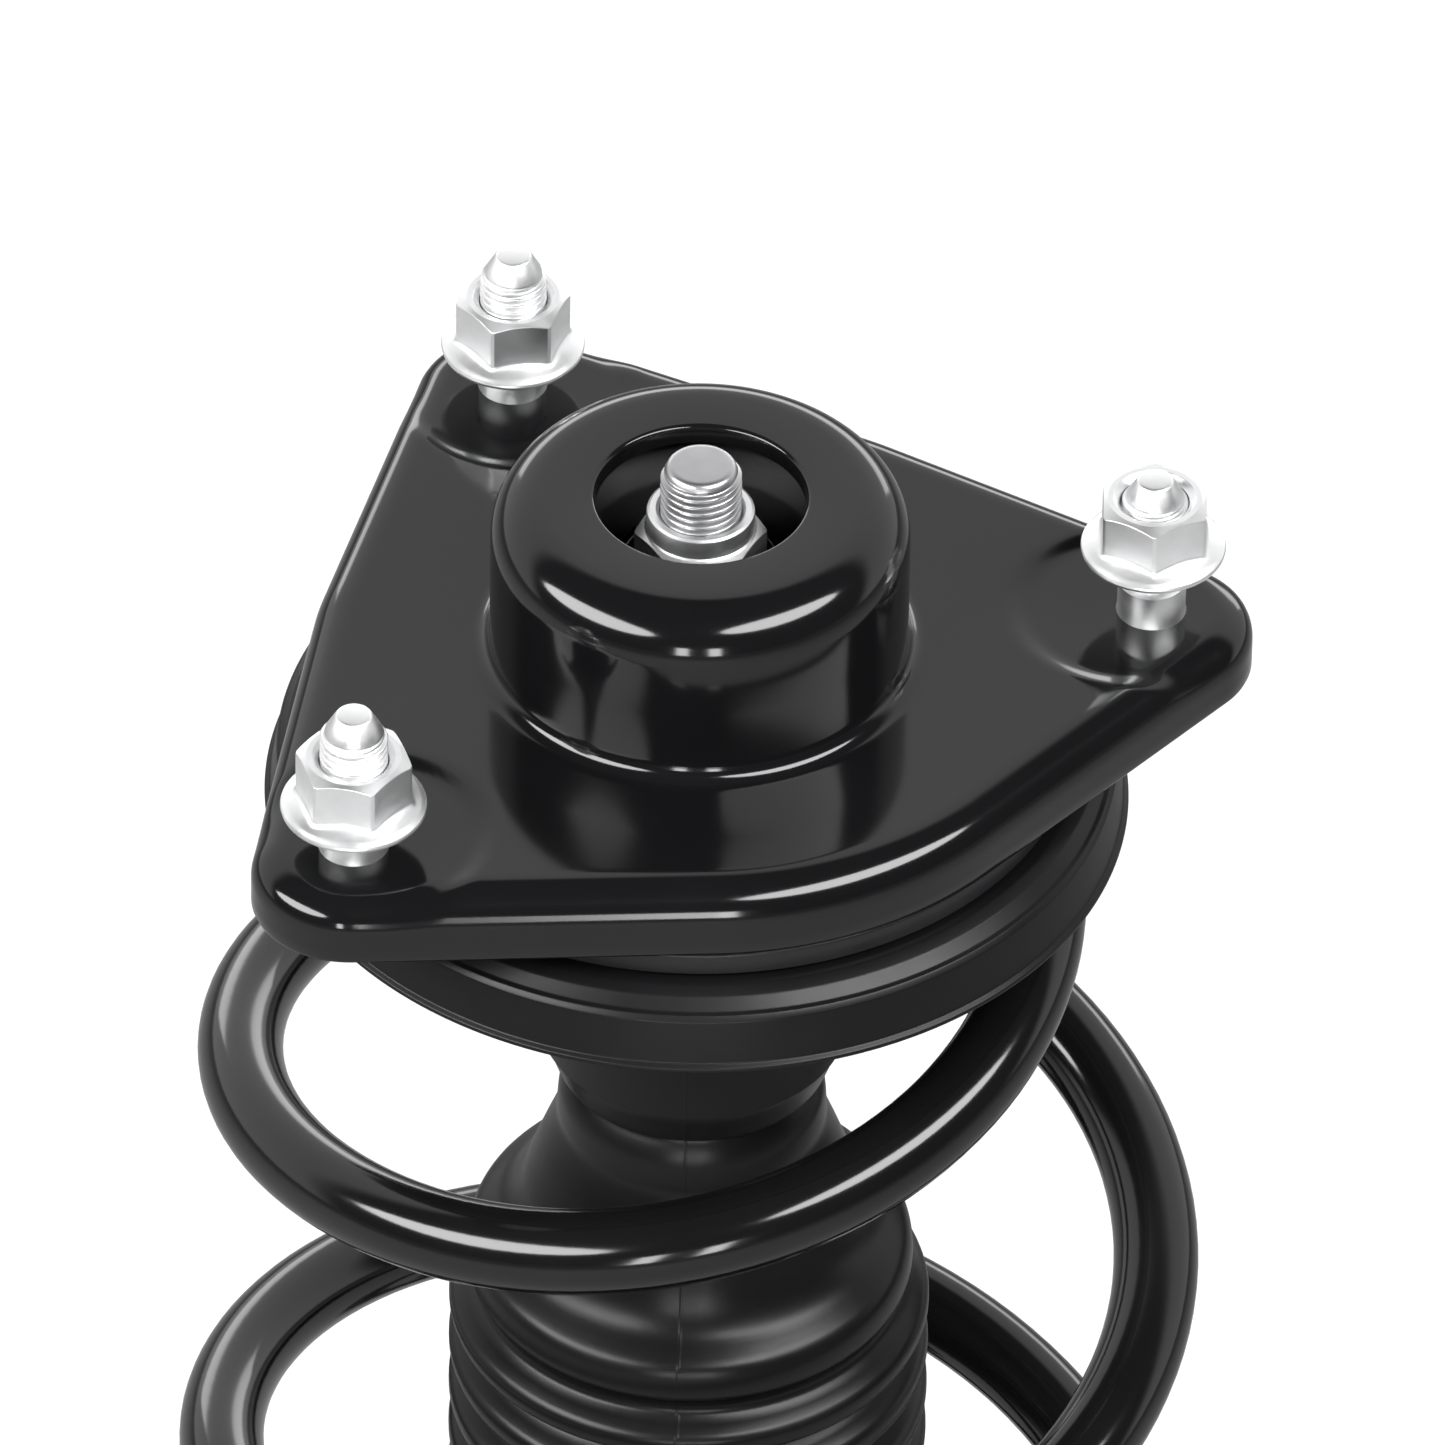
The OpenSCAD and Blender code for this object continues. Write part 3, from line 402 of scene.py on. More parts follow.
def turning_group():
    """Fine tool lines round the strut's axis, as a lathe leaves them."""
    name = "Turning lines"
    if name in bpy.data.node_groups:
        return bpy.data.node_groups[name]
    group, entry, leave = open_group(name, {"Lines per metre": 2500.0}, ("Height", "Shade"))
    parts = add_node(group, "SeparateXYZ", {"Vector": add_node(group, "TexCoord")["Object"]})
    flat = add_node(group, "CombineXYZ", {"X": parts["X"], "Y": parts["Y"]})["Vector"]
    reach = add_node(group, "VectorMath", {0: flat}, operation="LENGTH")["Value"]
    line = add_node(group, "CombineXYZ", {"X": reach, "Y": parts["Z"]})["Vector"]
    noise = add_node(group, "TexNoise", {"Vector": line, "Scale": entry["Lines per metre"], "Detail": 2.0},
                     noise_dimensions="2D")["Fac"]
    set_inputs(group, leave, {"Height": noise, "Shade": noise})
    return group


def ranged(tree, source, low, high):
    """Maps a shade from the noise's middle range to low and high."""
    return add_node(tree, "MapRange", {"Value": source, "From Min": 0.3, "From Max": 0.7, "To Min": low,
                                       "To Max": high})["Result"]


def finish(name, colour, roughness, metal=0.0, grain=900.0, cloud=40.0, bump=0.00002, spread=0.05, tone=0.15,
           coat=0.0, coat_roughness=0.05, lines=0.0, specular=0.5):
    """One procedural finish: a colour, a roughness range and a bump from the shared grain."""
    if name in bpy.data.materials:
        return bpy.data.materials[name]
    material = bpy.data.materials.new(name)
    material.use_nodes = True
    tree = material.node_tree
    shared = add_node(tree, "Group", {"Grain per metre": grain, "Cloud per metre": cloud}, node_tree=grain_group())
    height, shade = shared["Height"], shared["Cloud"]
    mix = add_node(tree, "Mix", {0: ranged(tree, shade, 0.0, 1.0), 6: (*[c * (1.0 - tone) for c in colour], 1.0),
                                 7: (*[min(1.0, c * (1.0 + tone)) for c in colour], 1.0)}, data_type="RGBA")
    if lines > 0.0:
        turning = add_node(tree, "Group", {"Lines per metre": lines}, node_tree=turning_group())
        height, shade = turning["Height"], turning["Shade"]
    relief = add_node(tree, "Bump", {"Distance": bump, "Strength": 1.0, "Height": height})
    set_inputs(tree, tree.nodes["Principled BSDF"], {
        "Base Color": mix[2], "Roughness": ranged(tree, shade, roughness - spread, roughness + spread),
        "Normal": relief["Normal"], "Metallic": metal, "Specular IOR Level": specular,
        "Coat Weight": coat, "Coat Roughness": coat_roughness})
    return material


def finishes():
    """All the finishes by name."""
    look = bpy.context.scene.strut_finishes
    return {
        "paint": finish("Black paint", look.paint, look.paint_roughness, grain=700.0, cloud=25.0, bump=0.000002,
                        coat=1.0, coat_roughness=look.coat_roughness, specular=0.0),
        "coil": finish("Spring powder coat", look.coil_paint, 0.26, grain=800.0, bump=0.000002, coat=1.0,
                       coat_roughness=0.12, specular=0.0),
        "satin": finish("Satin black paint", look.paint, 0.36, grain=900.0, cloud=30.0, bump=0.000004,
                        specular=0.26),
        "zinc": finish("Zinc plating", look.zinc, 0.40, metal=1.0, grain=1800.0, cloud=120.0, bump=0.000004,
                       spread=0.06, tone=0.05),
        "zinc_dull": finish("Zinc thread", look.zinc, 0.40, metal=1.0, grain=2600.0, cloud=160.0, bump=0.000006,
                            spread=0.06, tone=0.07),
        "steel": finish("Turned steel", look.steel, 0.36, metal=1.0, grain=1500.0, cloud=90.0, bump=0.000006,
                        lines=5000.0, tone=0.12),
        "chrome": finish("Hard chrome", (0.62, 0.62, 0.64), 0.10, metal=1.0, grain=3000.0, bump=0.000001,
                         spread=0.02, tone=0.03),
        "rubber": finish("Moulded rubber", look.rubber, 0.55, grain=1400.0, cloud=60.0, bump=0.00003,
                         specular=0.25),
        "boot": finish("Boot elastomer", look.boot, 0.32, grain=1100.0, cloud=50.0, bump=0.00001, spread=0.04,
                       specular=0.25),
        "nylon": finish("Black nylon", (0.010, 0.010, 0.011), 0.34, grain=1600.0, cloud=60.0, bump=0.000012),
        "foam": finish("Cellular urethane", (0.62, 0.50, 0.26), 0.85, grain=1300.0, cloud=70.0, bump=0.00012,
                       tone=0.2, specular=0.25),
        "bronze": finish("Sintered bronze", (0.46, 0.32, 0.16), 0.42, metal=1.0, grain=2400.0, bump=0.00001),
        "sintered": finish("Sintered iron", (0.20, 0.20, 0.21), 0.5, metal=1.0, grain=2600.0, bump=0.00003),
        "alloy": finish("Guide alloy", (0.55, 0.55, 0.56), 0.38, metal=1.0, lines=4000.0, bump=0.000006,
                        tone=0.08),
        "weld": finish("Painted weld", look.paint, 0.32, grain=500.0, cloud=120.0, bump=0.00012, coat=0.8,
                       coat_roughness=0.12),
    }


# Finish of each CAD node that stays as it is
KEPT_NODES = {
    "core_sleeve": "steel", "rebound_washer": "steel", "bump_stop_cup": "paint", "bearing_balls": "chrome",
    "ball_cage": "nylon", "bearing_lower_race": "nylon", "rebound_stop": "rubber", "piston": "sintered",
    "piston_band": "bronze", "valve_discs": "steel", "piston_nut": "zinc", "pressure_tube": "steel",
    "base_valve": "sintered", "rod_guide": "alloy", "guide_bush": "bronze", "rod_seal": "rubber",
    "bracket_bridge": "paint",
}


class STRUT_OT_finishes(bpy.types.Operator):
    """Makes the finishes and puts them on the CAD nodes that stay in view"""
    bl_idname = "strut.finishes"
    bl_label = "Finishes"

    def execute(self, context):
        made = finishes()
        for node, finish_name in KEPT_NODES.items():
            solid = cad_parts[node]
            solid.data.materials.clear()
            solid.data.materials.append(made[finish_name])
        return {"FINISHED"}


# ---------------------------------------------------------------- top mount

def stud_places():
    sizes = bpy.context.scene.strut_plate
    rear, side, front = sizes.stud_rear / MM, sizes.stud_span / MM / 2.0, sizes.stud_front / MM
    return ((sizes.stud_side / MM, rear), (side, -front), (-side, -front))


class PlateForm:
    """The plate's outline, the hull of its pan and its three ears, and the height of its top."""
    # Each lowered pad's centre lies this much nearer to the axis than its stud
    PAD_SHIFT = 3.0

    def __init__(self, sizes):
        out, ear, pan = sizes.ear_out / MM, sizes.ear_radius / MM, sizes.plate_radius / MM
        self.pad, self.slope, self.drop = sizes.pad_radius / MM, sizes.pad_slope / MM, sizes.ear_drop / MM
        self.roll = sizes.edge_roll / MM
        self.discs = [(0.0, 0.0, pan)]
        self.normals = []
        self.pads = []
        for x, y in stud_places():
            reach = math.hypot(x, y)
            grow, shrink = 1.0 + out / reach, 1.0 - self.PAD_SHIFT / reach
            self.discs.append((x * grow, y * grow, ear))
            self.pads.append((x * shrink, y * shrink))
            lean = math.acos((pan - ear) / (reach * grow))
            self.normals += [math.atan2(y, x) + lean, math.atan2(y, x) - lean]

    def depth(self, x, y):
        """Distance of a place inside the outline."""
        least = math.inf
        for angle in self.normals + [math.atan2(y - b, x - a) for a, b, r in self.discs]:
            c, s = math.cos(angle), math.sin(angle)
            least = min(least, max(a * c + b * s + r for a, b, r in self.discs) - x * c - y * s)
        return least

    def reach(self, angle):
        """Distance from the axis to the edge in a direction, by halving."""
        low, high = 40.0, 100.0
        for _ in range(30):
            middle = (low + high) / 2.0
            if self.depth(*polar(middle, angle)) > 0.0:
                low = middle
            else:
                high = middle
        return low

    def height(self, x, y, inset):
        """Height of the top, or of the underside when drawn in by the sheet's thickness."""
        near = min(math.hypot(x - a, y - b) for a, b in self.pads)
        sunk = self.drop * (1.0 - smooth_step((near - self.pad) / self.slope))
        depth, roll = self.depth(x, y) - inset, self.roll - inset
        if depth <= 0.0:
            return -sunk - self.roll
        if depth >= roll:
            return -sunk - inset
        return -sunk - self.roll + math.sqrt(roll * roll - (roll - depth) ** 2)


class STRUT_OT_mount_plate(bpy.types.Operator):
    """Builds the pressed mounting plate with its ears, rolled edge and hub"""
    bl_idname = "strut.mount_plate"
    bl_label = "Mounting plate"

    def execute(self, context):
        sizes = context.scene.strut_plate
        sheet, roll, hub = sizes.sheet / MM, sizes.edge_roll / MM, sizes.hub_radius / MM
        fillet, bend, hole = sizes.hub_fillet / MM, sizes.hub_round / MM, sizes.hub_hole / MM
        lip, hub_top = foot_of("mount_plate"), top_of("mount_plate")
        form = PlateForm(sizes)
        directions = 640
        turns = [TAU * k / directions for k in range(directions)]
        edge = [form.reach(angle) for angle in turns]
        rings = []

        def round_ring(radius, z):
            rings.append([(*polar(radius, a), z) for a in turns])

        def quarter(radius, z, out, up, steps, first=1):
            """Rings along a quarter bend that ends at a radius and leaves a height."""
            for k in range(first, steps + 1):
                angle = QUARTER * k / steps
                round_ring(radius + out * (1.0 - math.sin(angle)), z + up * (1.0 - math.cos(angle)))

        def form_rings(spans, inset):
            """Rings of the top, or of the underside drawn in by inset, at each direction's own stations."""
            for stations in zip(*spans):
                places = [polar(r, angle) for r, angle in zip(stations, turns)]
                rings.append([(x, y, form.height(x, y, inset)) for x, y in places])

        # Lip and outer wall, from the foot up
        for inset, z in ((0.5, lip), (0.15, lip + 0.15), (0.0, lip + 0.5), (0.0, lip + 2.4), (0.0, -form.drop - roll)):
            rings.append([(*polar(r - inset, a), z) for r, a in zip(edge, turns)])
        # Rolled edge with close stations, then the pads and the field in to the hub's fillet
        inside, roll_span = 0.002, 7.6
        spans = []
        for r in edge:
            stations = [r - inside - roll_span * (1.0 - math.cos(QUARTER * k / 13.0)) for k in range(14)]
            spans.append(stations + between(stations[-1], hub + fillet, 34))
        form_rings(spans, 0.0)
        quarter(hub, 0.0, fillet, fillet, 8)
        # Hub wall, round and top, and the edge of its hole
        round_ring(hub, (fillet + hub_top - bend) / 2.0)
        for k in range(15):
            angle = QUARTER * k / 14.0
            round_ring(hub - bend * (1.0 - math.cos(angle)), hub_top - bend * (1.0 - math.sin(angle)))
        hole_edge = 0.8
        round_ring(hole + hole_edge, hub_top)
        quarter(hole, hub_top, hole_edge, -hole_edge, 5)
        # Back down inside the hub and under the field
        round_ring(hole, hub_top - sheet)
        inner, tight = hub - sheet, bend - sheet
        quarter(inner, hub_top - sheet, -tight, -tight, 8, first=0)
        round_ring(inner, -sheet)
        field_end, roll_under, wall_slope = 50.0, 3.6, 0.96
        spans = []
        for r in edge:
            r -= sheet / wall_slope
            stations = between(inner, min(field_end, r - 5.0), 4)
            stations += between(stations[-1], r - roll_under, 8)
            spans.append(stations + [r - roll_under * math.cos(QUARTER * k / 7.0) for k in range(1, 8)])
        form_rings(spans, sheet)
        rings.append([(x, y, lip) for x, y, z in rings[-1]])
        verts = [point for ring in rings for point in ring]
        piece = finish_mesh("mounting_plate", verts, ring_faces(len(rings), directions), finishes()["paint"],
                            sharp=50.0, merge=False)
        place(piece, "mount", "black_paint", "mount_plate")
        return {"FINISHED"}


class STRUT_OT_studs(bpy.types.Operator):
    """Builds the three pressed studs with rolled threads and tapered tips"""
    bl_idname = "strut.studs"
    bl_label = "Studs"

    def execute(self, context):
        sizes = context.scene.strut_fasteners
        shank, pitch = sizes.stud_radius / MM, sizes.thread_pitch / MM
        crest, root, knurl = shank - 0.05, shank - 0.78, 5.25
        head, tip = foot_of("mount_studs"), top_of("mount_studs")
        ear = -context.scene.strut_plate.ear_drop / MM
        rings = above(head, [(0.0, 0.0), (0.0, 8.1), (0.15, 8.45), (0.5, 8.6), (2.4, 8.6), (2.5, 8.5), (2.5, knurl)])
        rings += above(ear, [(-0.2, knurl), (0.3, shank), (5.6, shank), (6.1, root)])
        rings += thread_rings(ear + 6.1, tip - 3.2, crest, root, pitch)
        rings += above(tip, [(-3.1, root), (-2.9, root - 0.05), (-1.6, 3.45), (-0.35, 2.75), (-0.1, 2.55), (0.0, 2.2),
                             (0.0, 0.0)])
        verts, faces = stacked(rings, 64)
        studs = joined([(moved(verts, x, y, 0.0, 0.9 * k), faces) for k, (x, y) in enumerate(stud_places())])
        piece = finish_mesh("mount_stud_set", *studs, finishes()["zinc_dull"], sharp=48.0)
        place(piece, "mount", "zinc", "mount_studs")
        return {"FINISHED"}


def nut_mesh(flats, height, bore, flange=None, collar=None, turn=0.0, steps=180):
    """A hexagon nut with turned-off corners; flange is (radius, thickness), collar is (radius, height)."""
    cut, slope = 0.47 * flats, 0.58

    def side(angle):
        return hex_radius(angle - turn, flats)

    def chamfer_z(angle):
        return height - (side(angle) - cut) * slope

    if flange:
        wide, thick = flange

        def skirt(r):
            return thick + 0.42 * (wide - r) + 0.03 * (wide - r) ** 2

        def skirt_r(angle, part):
            return wide - 0.4 + (side(angle) + 0.35 - wide + 0.4) * part

        rings = [(0.0, bore), (0.0, wide - 1.2), (0.12, wide - 0.55), (0.45, wide - 0.1), (thick - 0.45, wide),
                 (thick - 0.12, wide - 0.12), (thick + 0.05, wide - 0.4)]
        rings += [(lambda a, t=k / 6.0: skirt(skirt_r(a, t)), lambda a, t=k / 6.0: skirt_r(a, t)) for k in range(1, 6)]
        rings += [(lambda a: skirt(side(a)), lambda a: side(a) + 0.22),
                  (lambda a: skirt(side(a)) + 0.3, lambda a: side(a) + 0.04),
                  (lambda a: skirt(side(a)) + 0.6, side)]
    else:
        rings = [(0.0, bore), (0.0, cut - 0.3), (0.25, cut), (lambda a: 0.25 + (side(a) - cut) * slope, side)]
    rings += [(lambda a: chamfer_z(a) - 0.12, side), (lambda a: chamfer_z(a) + 0.02, lambda a: side(a) - 0.07),
              (height - 0.12, cut + 0.05), (height, cut - 0.2)]
    if collar:
        wide, top = collar
        rings += above(height, [(0.02, wide + 0.25), (0.25, wide)])
        rings += above(top, [(-0.7, wide), (-0.3, wide - 0.12), (-0.05, wide - 0.5), (0.0, wide - 0.9),
                             (-0.05, bore + 0.5), (-0.5, bore)])
    else:
        rings += above(height, [(0.0, bore + 0.95), (-0.1, bore + 0.8), (-0.85, bore)])
    return stacked(rings, steps)


class STRUT_OT_flange_nuts(bpy.types.Operator):
    """Builds the three flange nuts, as far down their studs as the CAD has them"""
    bl_idname = "strut.flange_nuts"
    bl_label = "Flange nuts"

    def execute(self, context):
        sizes = context.scene.strut_fasteners
        flats, height = sizes.nut_flats / MM, sizes.nut_height / MM
        bore, flange = sizes.stud_radius / MM + 0.1, (sizes.flange_radius / MM, 1.3)
        low, high = foot_of("flange_nuts"), top_of("flange_nuts") - height
        parts = []
        for k, ((x, y), z) in enumerate(zip(stud_places(), (low, high, low))):
            verts, faces = nut_mesh(flats, height, bore, flange=flange, turn=math.radians(14 + 20 * k))
            parts.append((moved(verts, x, y, z), faces))
        piece = finish_mesh("flange_nut_set", *joined(parts), finishes()["zinc"], sharp=24.0)
        place(piece, "mount", "zinc", "flange_nuts")
        return {"FINISHED"}


class STRUT_OT_rod(bpy.types.Operator):
    """Builds the piston rod with its threaded end, its nut and its washer"""
    bl_idname = "strut.rod"
    bl_label = "Piston rod and nut"

    def execute(self, context):
        sizes = context.scene.strut_fasteners
        made = finishes()
        tip, foot = top_of("piston_rod"), foot_of("piston_rod")
        seat, top = foot_of("rod_nut"), top_of("rod_nut")
        shoulder = foot_of("rebound_washer") - 2.0
        spigot, rod, neck, crest, root = 7.0, 11.0, 6.0, 5.95, 5.15
        rings = above(foot, [(0.0, 0.0), (0.0, 6.2), (0.8, spigot), (38.0, spigot), (38.0, 10.4), (38.6, rod)])
        rings += above(shoulder, [(-1.0, rod), (0.0, 10.0), (0.0, neck)])
        rings += above(seat, [(-0.6, neck), (0.0, root)])
        rings += thread_rings(seat, tip - 1.1, crest, root, sizes.thread_pitch / MM)
        rings += above(tip, [(-1.1, root + 0.15), (-0.55, 5.1), (-0.2, 4.8), (-0.04, 4.4), (0.0, 3.9), (0.0, 0.0)])
        piece = finish_mesh("piston_rod_turned", *stacked(rings, 96), made["steel"], sharp=48.0)
        place(piece, "mount", "chrome_rod", "piston_rod")
        verts, faces = nut_mesh(sizes.rod_nut_flats / MM, top - seat - 3.5, 6.05, collar=(7.9, top - seat),
                                turn=math.radians(7))
        piece = finish_mesh("rod_lock_nut", moved(verts, 0.0, 0.0, seat), faces, made["zinc"], sharp=24.0)
        place(piece, "mount", "zinc", "rod_nut")
        cup = lifted(foot_of("top_washer"), [(6.02, 0.0), (11.5, 0.0, 1.0), (13.0, 1.5, 0.6), (13.0, 4.5, 0.5),
                                             (11.4, 4.5, 0.5), (10.4, 3.0, 1.0), (6.02, 3.0, 0.3)])
        turned_part("mount_washer", cup, "paint", "mount", "steel", "top_washer")
        return {"FINISHED"}


class STRUT_OT_mount_bush(bpy.types.Operator):
    """Builds the rubber mount and the plate that closes it below"""
    bl_idname = "strut.mount_bush"
    bl_label = "Rubber mount"

    def execute(self, context):
        sizes = context.scene.strut_plate
        outer, core = (sizes.hub_radius - sizes.sheet) / MM - PRESS, 8.52
        low, high, washer = foot_of("rubber_bush"), top_of("rubber_bush"), foot_of("top_washer")
        field = top_of("closing_plate") + PRESS + 0.1
        section = lifted(low, [(core, 0.0), (17.0, 0.0, 1.5), (18.8, 2.0, 1.2)])
        section += [(18.8, field, 0.5), (outer, field, 0.5)]
        section += lifted(high, [(outer, -3.0, 1.5), (outer - 2.5, -1.0, 1.8), (21.0, 0.0, 2.5), (17.0, -4.0, 2.5)])
        section += lifted(washer, [(14.0, -0.5, 1.5), (core, -1.5, 0.4)])
        turned_part("rubber_mount", section, "rubber", "mount", "black_rubber", "rubber_bush")
        low, top = foot_of("closing_plate"), top_of("closing_plate")
        under = top - 2.0
        section = [(20.0, top, 0.3), (50.0, top, 0.5), (50.0, under, 0.9), (31.5, under, 0.6), (31.5, low, 0.9),
                   (29.5, low, 0.5), (29.5, under, 0.4), (20.0, under, 0.6)]
        turned_part("closing_pressing", section, "paint", "mount", "black_paint", "closing_plate")
        return {"FINISHED"}


# ---------------------------------------------------------------- bearing and upper seat

class STRUT_OT_bearing_cap(bpy.types.Operator):
    """Builds the bearing's upper shell with its dust skirt"""
    bl_idname = "strut.bearing_cap"
    bl_label = "Bearing shell"

    def execute(self, context):
        top, low = top_of("bearing_upper_race"), foot_of("bearing_upper_race")
        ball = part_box("bearing_balls")
        middle = (ball[0].z + ball[1].z) / 2.0 / MM
        skirt = foot_of("mount_plate") - 0.9
        wide, ball_circle, groove = 55.6, 43.0, 3.52
        section = rounded([(31.52, middle + 1.2, 0.2), (31.52, top, 0.5), (47.0, top, 0.5), (48.0, top - 1.0, 0.5),
                           (48.0, skirt, 0.4), (wide - 0.5, skirt, 0.7), (wide, skirt - 0.5, 0.5), (wide, low, 0.3),
                           (53.2, low, 0.4), (53.2, middle + 1.2, 0.8)])
        for degrees in reversed(range(-69, 70, 9)):
            angle = math.radians(degrees)
            section.append((ball_circle + groove * math.sin(angle), middle + groove * math.cos(angle)))
        shell = turned("bearing_shell", section, finishes()["nylon"], steps=192)
        place(shell, "mount", "black_nylon", "bearing_upper_race")
        return {"FINISHED"}


class STRUT_OT_upper_seat(bpy.types.Operator):
    """Builds the pressed upper spring seat and its rubber insulator"""
    bl_idname = "strut.upper_seat"
    bl_label = "Upper spring seat"

    def execute(self, context):
        rim, rim_z = side_of("upper_spring_seat"), -28.0
        ledge = top_of("upper_spring_seat")
        floor, pocket, inner = ledge - 4.5, 48.4, 50.6

        def at(share_out):
            """Radius at a share of the way from the pocket's wall out to the rim."""
            return inner + share_out * (rim - inner)

        section = lifted(floor, [(24.0, -10.0, 0.4), (24.0, 0.0, 2.4), (pocket, 0.0, 0.6)])
        section += lifted(ledge, [(inner, 0.0, 0.8), (at(0.5), 0.0, 1.4), (at(0.64), -0.9, 1.2), (at(0.76), -2.5, 0.6),
                                  (at(0.81), -2.7, 0.4), (at(0.86), -3.5, 0.6)])
        section += lifted(rim_z, [(rim - 0.75, 1.25, 0.5), (rim, 0.75, 0.4), (rim, 0.0, 0.35), (at(0.85), 0.0, 0.6)])
        section += lifted(ledge, [(at(0.68), -4.0, 0.6), (at(0.56), -3.0, 0.6), (at(0.45), -2.5, 0.8),
                                  (at(0.14), -2.5, 0.5)])
        section += lifted(floor, [(49.6, -2.5, 0.6), (26.5, -2.5, 0.6), (26.5, -10.0, 0.4)])
        turned_part("upper_seat_pressing", section, "satin", "spring_seat", "black_paint", "upper_spring_seat",
                    steps=224)
        low = foot_of("upper_insulator")
        under = low + 8.0
        section = lifted(floor, [(26.52, -2.5), (49.75, -2.5, 0.3)])
        section += lifted(ledge, [(at(0.14) + 0.15, -2.55, 0.4), (at(0.44), -2.55, 0.4), (at(0.54), -3.1, 0.4),
                                  (at(0.66), -4.0, 0.5)])
        section += lifted(rim_z, [(at(0.72), -1.5, 0.9), (at(0.66), -3.0, 1.2)])
        section += lifted(under, [(at(0.48), 0.0, 1.6), (43.05, 0.0, 0.5), (42.65, -0.6, 0.5)])
        section += [(42.65, low + 2.0, 1.2), (40.65, low, 1.0), (36.65, low, 1.2), (33.65, under, 1.5),
                    (26.52, under + 2.0, 0.5)]
        turned_part("upper_insulator_ring", section, "rubber", "spring_seat", "black_rubber", "upper_insulator")
        return {"FINISHED"}


# ---------------------------------------------------------------- boot and spring

def unstep(weight):
    """The share along the span whose smooth step is this weight."""
    return 0.5 - math.sin(math.asin(1.0 - 2.0 * min(1.0, max(0.0, weight))) / 3.0)


def stretched_piece(name, rings, weights, finish_name, top, foot, slot, node, closed=True):
    """A piece from rings of points: each ring first stands at a height set by its weight, and its real shape is put in
    after.
    """
    verts = []
    for ring, weight in zip(rings, weights):
        z = top + (foot - top) * unstep(weight)
        verts.extend((0.0, 0.0, z) for _ in ring)
    faces = ring_faces(len(rings), len(rings[0]), closed=closed)
    piece = finish_mesh(name, verts, faces, finishes()[finish_name], merge=False)
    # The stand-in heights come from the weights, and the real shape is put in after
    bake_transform(piece)
    piece.data.vertices.foreach_set("co", [value * MM for ring in rings for point in ring for value in point])
    piece.data.update()
    work = bmesh.new()
    work.from_mesh(piece.data)
    bmesh.ops.recalc_face_normals(work, faces=work.faces)
    work.to_mesh(piece.data)
    work.free()
    piece.data.shade_smooth()
    piece.data.set_sharp_from_angle(angle=math.radians(40))
    return place(piece, None, slot, node)


class STRUT_OT_boot(bpy.types.Operator):
    """Builds the blow-moulded dust boot with its bellows and its mould line"""
    bl_idname = "strut.boot"
    bl_label = "Dust boot"

    def execute(self, context):
        top, foot = top_of("dust_boot"), foot_of("dust_boot")
        seat = top - 1.4
        waist = seat - 64.6
        wide, wall = 35.9, 1.2
        # Bowl under the flange, neck, and shoulder down to the first rib
        outer = [(22.9, seat - 0.4)] + lifted(waist, [
            (22.9, 17.5), (22.7, 15.0), (22.2, 12.5), (21.4, 10.1), (20.7, 8.1), (20.2, 6.9), (19.6, 6.3), (18.4, 5.9),
            (17.9, 5.4), (18.0, 4.7), (18.6, 3.7), (19.2, 2.5), (19.7, 1.0), (19.9, -0.8), (20.0, -2.5),
            (20.05, -4.1), (20.5, -5.7), (21.3, -7.9), (22.3, -10.5), (23.4, -13.5), (24.5, -16.5), (25.5, -19.5),
            (26.8, -22.3), (28.5, -24.5), (30.6, -26.1), (32.2, -27.4), (33.0, -28.9), (33.3, -30.6), (33.3, -32.2),
            (33.0, -33.2), (32.2, -34.2), (31.9, -35.2)])
        outer = smooth_curve(outer, 3)
        ribs_top, pitch, depth, ribs, rib_steps = waist - 36.0, 8.8, 4.0, 18, 12
        for k in range(ribs * rib_steps):
            groove = math.cos(math.pi * (k % rib_steps) / rib_steps) ** 4
            outer.append((wide - depth * groove, ribs_top - pitch * k / rib_steps))
        collar, collar_r, valley = ribs_top - ribs * pitch, 25.8 + wall, wide - depth
        outer += lifted(collar, [
            (valley, 0.0), (valley - 0.3, -1.6), (collar_r + 1.2, -4.0), (collar_r, -5.2), (collar_r, -8.0),
            (collar_r + 0.5, -8.6), (collar_r + 0.5, -10.0), (collar_r, -10.6)])
        outer += lifted(foot, [(collar_r, 0.3), (collar_r - 0.3, 0.0)])
        flange = [(22.5, top - 0.4), (22.9, top), (28.6, top), (29.0, top - 0.4), (29.0, seat + 0.4), (28.6, seat),
                  (24.2, seat)]
        inner = [(r - wall, z) for r, z in reversed(outer[1:-1])]
        profile = flange + outer + [(collar_r - wall + 0.1, foot)] + inner

        # Angles round the boot, finer at the two mould lines
        seams = (math.radians(-118.3), math.radians(61.7))
        even = {round(TAU * k / 160, 5) for k in range(160)}
        fine = {round((seam + math.radians(off)) % TAU, 5)
                for seam in seams for off in (-0.9, -0.55, -0.3, 0.0, 0.3, 0.55, 0.9)}
        angles = sorted(even | fine)

        def raised(angle):
            off = min(abs((angle - seam + math.pi) % TAU - math.pi) for seam in seams)
            return max(0.0, 1.0 - math.degrees(off) / 0.6)

        # The neck and shoulder get no weight, and the collar the full weight
        hold, end = waist - 34.2, collar - 2.0
        rings, weights = [], []
        for index, (r, z) in enumerate(profile):
            line = 0.07 if len(flange) <= index < len(flange) + len(outer) else 0.0
            rings.append([(*polar(r + line * raised(a), a), z) for a in angles])
            weights.append(min(1.0, max(0.0, (z - hold) / (end - hold))))
        stretched_piece("dust_boot_moulding", rings, weights, "boot", top, foot, "boot_plastic", "dust_boot")
        return {"FINISHED"}


# Angle about the strut's axis at which the spring's first turn begins, and how far the wire runs past each end
# of its active turns, in degrees
COIL_START = -31.0
COIL_LEAD = 180.0
COIL_TAIL = 230.0


